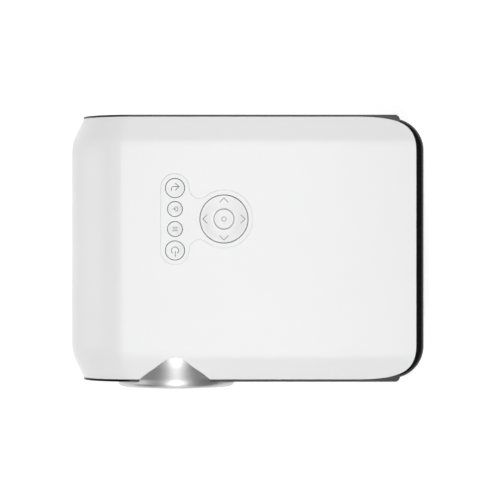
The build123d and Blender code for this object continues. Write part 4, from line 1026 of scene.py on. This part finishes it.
def make_keys(sizes):
    """The four round keys with their signs."""
    signs = (RETURN_ARROW, SOURCE_SIGN, MENU_SIGN, POWER_SIGN)
    for node, sign in zip(KEY_NODES, signs):
        make_round_key(sizes, node)
        x, y = middle_of(node)
        rim = key_radius(node) - KEY_EDGE

        def height_at(px, py, x=x, y=y, rim=rim):
            return dished(math.hypot(px - x, py - y), rim, CASE_TOP + KEY_PROUD, sizes.key_dish)

        small = SMALL_SIGN if node in ("source_key", "menu_key") else 1.0
        print_symbol(node + "_sign", node, (x, y), sign, height_at, sizes.symbol_width * small)


def make_direction_pad(sizes):
    """Direction ring with four chevrons, and the OK key with a small ring."""
    make_nav_ring()
    make_round_key(sizes, "ok_key")
    x, y = middle_of("nav_ring")

    def ring_height(px, py):
        return nav_height(math.hypot(px - x, py - y))

    print_symbol(
        "direction_signs", "nav_ring", (x, y), quarter_turns(CHEVRON), ring_height,
        sizes.symbol_width * SMALL_SIGN,
    )
    rim = key_radius("ok_key") - KEY_EDGE

    def cap_height(px, py):
        return dished(math.hypot(px - x, py - y), rim, CASE_TOP + KEY_PROUD, sizes.key_dish)

    print_symbol(
        "ok_sign", "ok_key", (x, y), OK_RING, cap_height, sizes.symbol_width * OK_SIGN
    )


# ---- lens ----
# outlines as radius and place along Y, in millimetres
BEZEL_BACK = (33.9, -71.8)
FUNNEL_BACK = (32.4, -71.8)
BARREL_OUTLINE = [
    (27.2, -90.0), (27.2, -48.0), (24.2, -48.0), (24.2, -62.0), (22.0, -62.0), (22.0, -74.0),
    (24.15, -74.0), (24.15, -83.4), (24.6, -84.0), (24.6, -85.2), (25.1, -85.8), (25.1, -87.0),
    (25.6, -87.6), (25.6, -88.8), (26.1, -89.4), (26.1, -90.0),
]
FRONT_GLASS_EDGE = [(0.0, -74.2), (24.1, -74.2), (24.1, -80.0)]
FRONT_GLASS_DOME = 96.0
REAR_GLASS_OUTLINE = [
    (0.0, -54.0), (24.1, -54.0), (24.1, -60.0), (18.0, -61.2), (9.0, -61.8), (0.0, -62.0),
]
# the focus ring's rows also say whether flutes cut into them
FOCUS_ROWS = [
    (27.6, -95.0, 0), (30.6, -95.0, 0), (31.0, -94.6, 0), (31.0, -94.0, 1), (31.0, -83.0, 1),
    (31.0, -82.4, 0), (30.6, -82.0, 0), (30.6, -74.0, 0), (29.5, -74.0, 0), (29.5, -78.3, 0),
    (27.6, -78.3, 0),
]
FLUTES = 72
FLUTE_DEPTH = 0.45
FLUTE_ROUND = 0.6


def flare_slopes():
    """Slope of the bezel's outline at each of its points, the mean of the two beside it."""
    pairs = list(zip(BEZEL_CONE, BEZEL_CONE[1:]))
    chords = [(after[0] - here[0]) / (after[1] - here[1]) for here, after in pairs]
    inner = [(first + second) / 2 for first, second in zip(chords, chords[1:])]
    return chords[:1] + inner + chords[-1:]


def flare_points(steps=5):
    """Outline of the bezel's outside as one smooth curve, from the back to the rim."""
    slopes = flare_slopes()
    points = []
    for index in range(len(BEZEL_CONE) - 1):
        (start_r, start_y), (end_r, end_y) = BEZEL_CONE[index:index + 2]
        run = end_y - start_y
        for step in range(steps):
            t = step / steps
            rise = (2 * t ** 3 - 3 * t ** 2 + 1) * start_r + (3 * t ** 2 - 2 * t ** 3) * end_r
            bend = (t ** 3 - 2 * t ** 2 + t) * slopes[index]
            bend += (t ** 3 - t ** 2) * slopes[index + 1]
            points.append((rise + run * bend, start_y + run * t))
    return points + [BEZEL_CONE[-1]]


def make_bezel():
    """Plated bezel: flared outside, full round rim, and a funnel with fine steps inside."""
    rim_round = 3.0 * MM
    lip_round = 0.6 * MM
    lip_radius = 37.6 * MM
    rim_radius, rim_y = BEZEL_CONE[-1]
    profile = in_metres([BEZEL_BACK]) + flare_points()
    profile += arc((rim_radius - rim_round, rim_y), rim_round, 0, -90, 10)[1:]
    profile += arc((lip_radius, BEZEL_FRONT + lip_round), lip_round, -90, -180, 4)
    steps = 6
    undercut = 0.25 * MM
    start_r, start_y = lip_radius - lip_round, BEZEL_FRONT + 0.9 * MM
    end_r, end_y = in_metres([FUNNEL_BACK])[0]
    for number in range(steps):
        share = number / steps
        after = (number + 1) / steps
        y = start_y + (end_y - start_y) * after
        profile.append((start_r + (end_r - start_r) * share, y - undercut))
        profile.append((start_r + (end_r - start_r) * after, y))
    bezel = lathe("lens_surround", profile, (LENS_X, 0, LENS_Z), "Y", 192)
    shade(bezel, 32)
    return dress(bezel, "housing", "silver_trim", "lens_bezel")


def front_glass_outline(steps=12):
    """Outline of the front glass, whose face is part of a large sphere."""
    edge_radius, edge_y = FRONT_GLASS_EDGE[-1]
    edge_depth = math.sqrt(FRONT_GLASS_DOME ** 2 - edge_radius ** 2)
    outline = list(FRONT_GLASS_EDGE)
    for step in range(1, steps + 1):
        across = edge_radius * (1 - step / steps)
        depth = math.sqrt(FRONT_GLASS_DOME ** 2 - across ** 2)
        outline.append((across, edge_y + edge_depth - depth))
    return outline


def make_lens():
    """Barrel with baffle steps, and the front and rear glass."""
    centre = (LENS_X, 0, LENS_Z)
    tube = lathe("barrel_tube", in_metres(BARREL_OUTLINE), centre, "Y", 128)
    ease(tube, 0.12 * MM, 2, 25.0)
    dress(tube, "lens_barrel", "barrel_black", "lens_barrel")
    outlines = (front_glass_outline(), REAR_GLASS_OUTLINE)
    glasses = [lathe("glass", in_metres(line), centre, "Y", 128, False) for line in outlines]
    pair = joined("glass_pair", glasses)
    shade(pair)
    dress(pair, "lens_barrel", "clear_glass", "lens_elements")


def make_focus_ring():
    """Focus ring with fine flutes round its grip."""
    steps = FLUTES * 6
    vertices = []
    for radius, y, fluted in FOCUS_ROWS:
        for step in range(steps):
            turn = 2 * math.pi * step / steps
            depth = FLUTE_DEPTH * fluted * max(0.0, math.sin(turn * FLUTES)) ** FLUTE_ROUND
            reach = (radius - depth) * MM
            place = (LENS_X + reach * math.cos(turn), y * MM, LENS_Z + reach * math.sin(turn))
            vertices.append(place)
    ring = new_piece("focus_grip", vertices, ring_faces(len(FOCUS_ROWS), steps))
    shade(ring)
    return dress(ring, "focus_ring", "barrel_black", "focus_ring")


# ---- underside ----
# outline of a foot as radius and height, in millimetres
FOOT_OUTLINE = [(0.0, 0.3), (4.6, 0.3), (5.0, 0.0), (6.6, 0.0)]
FOOT_OUTLINE += arc((6.9, 1.1), 1.1, -90, 0, 5) + [(8.0, 8.0), (0.0, 8.0)]


def make_feet():
    """Rubber feet with a rounded edge and a shallow hollow under each."""
    profile = in_metres(FOOT_OUTLINE)
    feet = [lathe("foot", profile, (x, y, 0), steps=64, closed=False) for x, y in FEET]
    feet = joined("rubber_pads", feet)
    shade(feet)
    return dress(feet, "housing", "rubber", "rubber_feet")


# ---- stage ----
WHITE = (1.0, 1.0, 1.0, 1.0)


def area_lamp(name, place, size, watts, aim=(0.0, 0.0, MID_Z)):
    """Rectangular soft lamp that looks at a point; its size is across and along."""
    lamp = bpy.data.lights.new(name, "AREA")
    lamp.shape = "RECTANGLE"
    lamp.size, lamp.size_y = size
    lamp.energy = watts
    holder = placed(name, lamp)
    holder.location = place
    holder.rotation_mode = "QUATERNION"
    holder.rotation_quaternion = (Vector(aim) - Vector(place)).to_track_quat("-Z", "Y")


def make_floor(strength):
    """Plain pale floor, which shows white beside the object's shadow."""
    reach = 6.0
    corners = [(-reach, -reach, 0), (reach, -reach, 0), (reach, reach, 0), (-reach, reach, 0)]
    floor = new_piece("floor", corners, [(0, 1, 2, 3)])
    made = Finish("pale_floor")
    lit = made.add("ShaderNodeBsdfDiffuse", inputs={"Color": (0.8, 0.8, 0.8, 1.0)})
    glow = made.add("ShaderNodeEmission", inputs={"Color": WHITE, "Strength": strength})
    both = made.add("ShaderNodeAddShader", inputs={0: lit, 1: glow})
    made.add("ShaderNodeOutputMaterial", inputs={"Surface": both})
    floor.data.materials.append(made.material)


def make_room(strength):
    """Even dim room that shows white to the camera."""
    world = bpy.data.worlds.new("room")
    bpy.context.scene.world = world
    made = Shading(world)
    seen = made.add("ShaderNodeLightPath", output="Is Camera Ray")
    room, shown = (
        made.add("ShaderNodeBackground", inputs={"Color": WHITE, "Strength": level})
        for level in (strength, 1.0)
    )
    mix = made.add("ShaderNodeMixShader", inputs={0: seen, 1: room, 2: shown})
    made.add("ShaderNodeOutputWorld", inputs={"Surface": mix})


def make_camera(studio):
    """Camera that looks straight down on the top, as the photograph does."""
    data = bpy.data.cameras.new("camera")
    data.sensor_width = 36.0
    data.lens = data.sensor_width * studio.camera_distance / studio.field
    camera = placed("camera", data)
    camera.location = (studio.camera_x, studio.camera_y, CASE_TOP + studio.camera_distance)
    bpy.context.scene.camera = camera


# ---- operators ----
class PROJECTOR_OT_finishes(bpy.types.Operator):
    """Make every material"""

    bl_idname = "projector.finishes"
    bl_label = "Finishes"

    def execute(self, context):
        build_finishes(context.scene.projector_colours)
        for node in frame["nodes"]:
            coat_node(node)
        return {"FINISHED"}


class PROJECTOR_OT_covers(bpy.types.Operator):
    """Make the two halves of the white sleeve"""

    bl_idname = "projector.covers"
    bl_label = "Covers"

    def execute(self, context):
        sizes = context.scene.projector_sizes
        make_upper_cover(sizes)
        make_lower_cover(sizes)
        return {"FINISHED"}


class PROJECTOR_OT_keypad(bpy.types.Operator):
    """Make the keypad plate, the round keys and the direction pad"""

    bl_idname = "projector.keypad"
    bl_label = "Keypad"

    def execute(self, context):
        sizes = context.scene.projector_sizes
        make_keypad_plate(sizes)
        make_gap_shade_rings(sizes)
        make_keys(sizes)
        make_direction_pad(sizes)
        return {"FINISHED"}


class PROJECTOR_OT_lens(bpy.types.Operator):
    """Make the lens bezel, barrel, glass and focus ring"""

    bl_idname = "projector.lens"
    bl_label = "Lens"

    def execute(self, context):
        make_bezel()
        make_lens()
        make_focus_ring()
        return {"FINISHED"}


BLACK_PANELS = ("front_panel", "rear_panel", "side_panel")
SMALL_MOULDINGS = ("tray_bezel", "eject_button", "signal_sockets", "power_inlet", "remote_window")


class PROJECTOR_OT_panels(bpy.types.Operator):
    """Ease the edges of the black panels, the tray's front and the sockets"""

    bl_idname = "projector.panels"
    bl_label = "Black panels"

    def execute(self, context):
        edge = context.scene.projector_sizes.small_edge
        for node in BLACK_PANELS:
            eased_copy(node, edge)
        for node in SMALL_MOULDINGS:
            eased_copy(node, edge / 2)
        return {"FINISHED"}


class PROJECTOR_OT_underside(bpy.types.Operator):
    """Make the rubber feet and ease the levelling foot"""

    bl_idname = "projector.underside"
    bl_label = "Underside"

    def execute(self, context):
        make_feet()
        for node in ("levelling_foot", "foot_pad"):
            eased_copy(node, context.scene.projector_sizes.small_edge)
        return {"FINISHED"}


class PROJECTOR_OT_stage(bpy.types.Operator):
    """Make the floor, the room, the lamps and the camera"""

    bl_idname = "projector.stage"
    bl_label = "Stage"

    def execute(self, context):
        studio = context.scene.projector_studio
        context.scene.view_settings.view_transform = "Standard"
        make_floor(studio.floor_light)
        make_room(studio.world_strength)
        area_lamp("top_lamp", (0.0, -0.1, 1.55), (0.5, 1.4), studio.top_power, (0.0, -0.1, 0.0))
        area_lamp("rear_lamp", (0.0, 1.5, 1.4), (0.55, 1.1), studio.rear_power)
        area_lamp("front_lamp", (0.0, -1.7, 1.0), (1.2, 0.8), studio.front_power)
        area_lamp("left_lamp", (-1.4, 0.0, 0.35), (0.6, 1.2), studio.left_power)
        make_camera(studio)
        return {"FINISHED"}


class PROJECTOR_PT_sidebar(bpy.types.Panel):
    """Lists the projector's pieces and settings"""

    bl_idname = "PROJECTOR_PT_sidebar"
    bl_label = "Projector"
    bl_space_type = "VIEW_3D"
    bl_region_type = "UI"
    bl_category = "Projector"

    def draw(self, context):
        for operator in OPERATORS:
            self.layout.operator(operator.bl_idname)
        for name in SETTINGS:
            settings = getattr(context.scene, name)
            box = self.layout.box()
            for field in settings.bl_rna.properties:
                if field.identifier not in ("rna_type", "name"):
                    box.prop(settings, field.identifier)


OPERATORS = (
    PROJECTOR_OT_finishes, PROJECTOR_OT_covers, PROJECTOR_OT_keypad, PROJECTOR_OT_lens,
    PROJECTOR_OT_panels, PROJECTOR_OT_underside, PROJECTOR_OT_stage,
)
SETTINGS = {
    "projector_sizes": ProjectorSizes,
    "projector_colours": ProjectorColours,
    "projector_studio": ProjectorStudio,
}


def register():
    for name, group in SETTINGS.items():
        bpy.utils.register_class(group)
        setattr(bpy.types.Scene, name, PointerProperty(type=group))
    for operator in OPERATORS:
        bpy.utils.register_class(operator)
    bpy.utils.register_class(PROJECTOR_PT_sidebar)


def unregister():
    bpy.utils.unregister_class(PROJECTOR_PT_sidebar)
    for operator in reversed(OPERATORS):
        bpy.utils.unregister_class(operator)
    for name, group in SETTINGS.items():
        delattr(bpy.types.Scene, name)
        bpy.utils.unregister_class(group)


def main():
    """Dresses the frame."""
    register()
    bpy.ops.projector.finishes()
    bpy.ops.projector.covers()
    bpy.ops.projector.keypad()
    bpy.ops.projector.lens()
    bpy.ops.projector.panels()
    bpy.ops.projector.underside()
    bpy.ops.projector.stage()


if __name__ == "__main__":
    main()
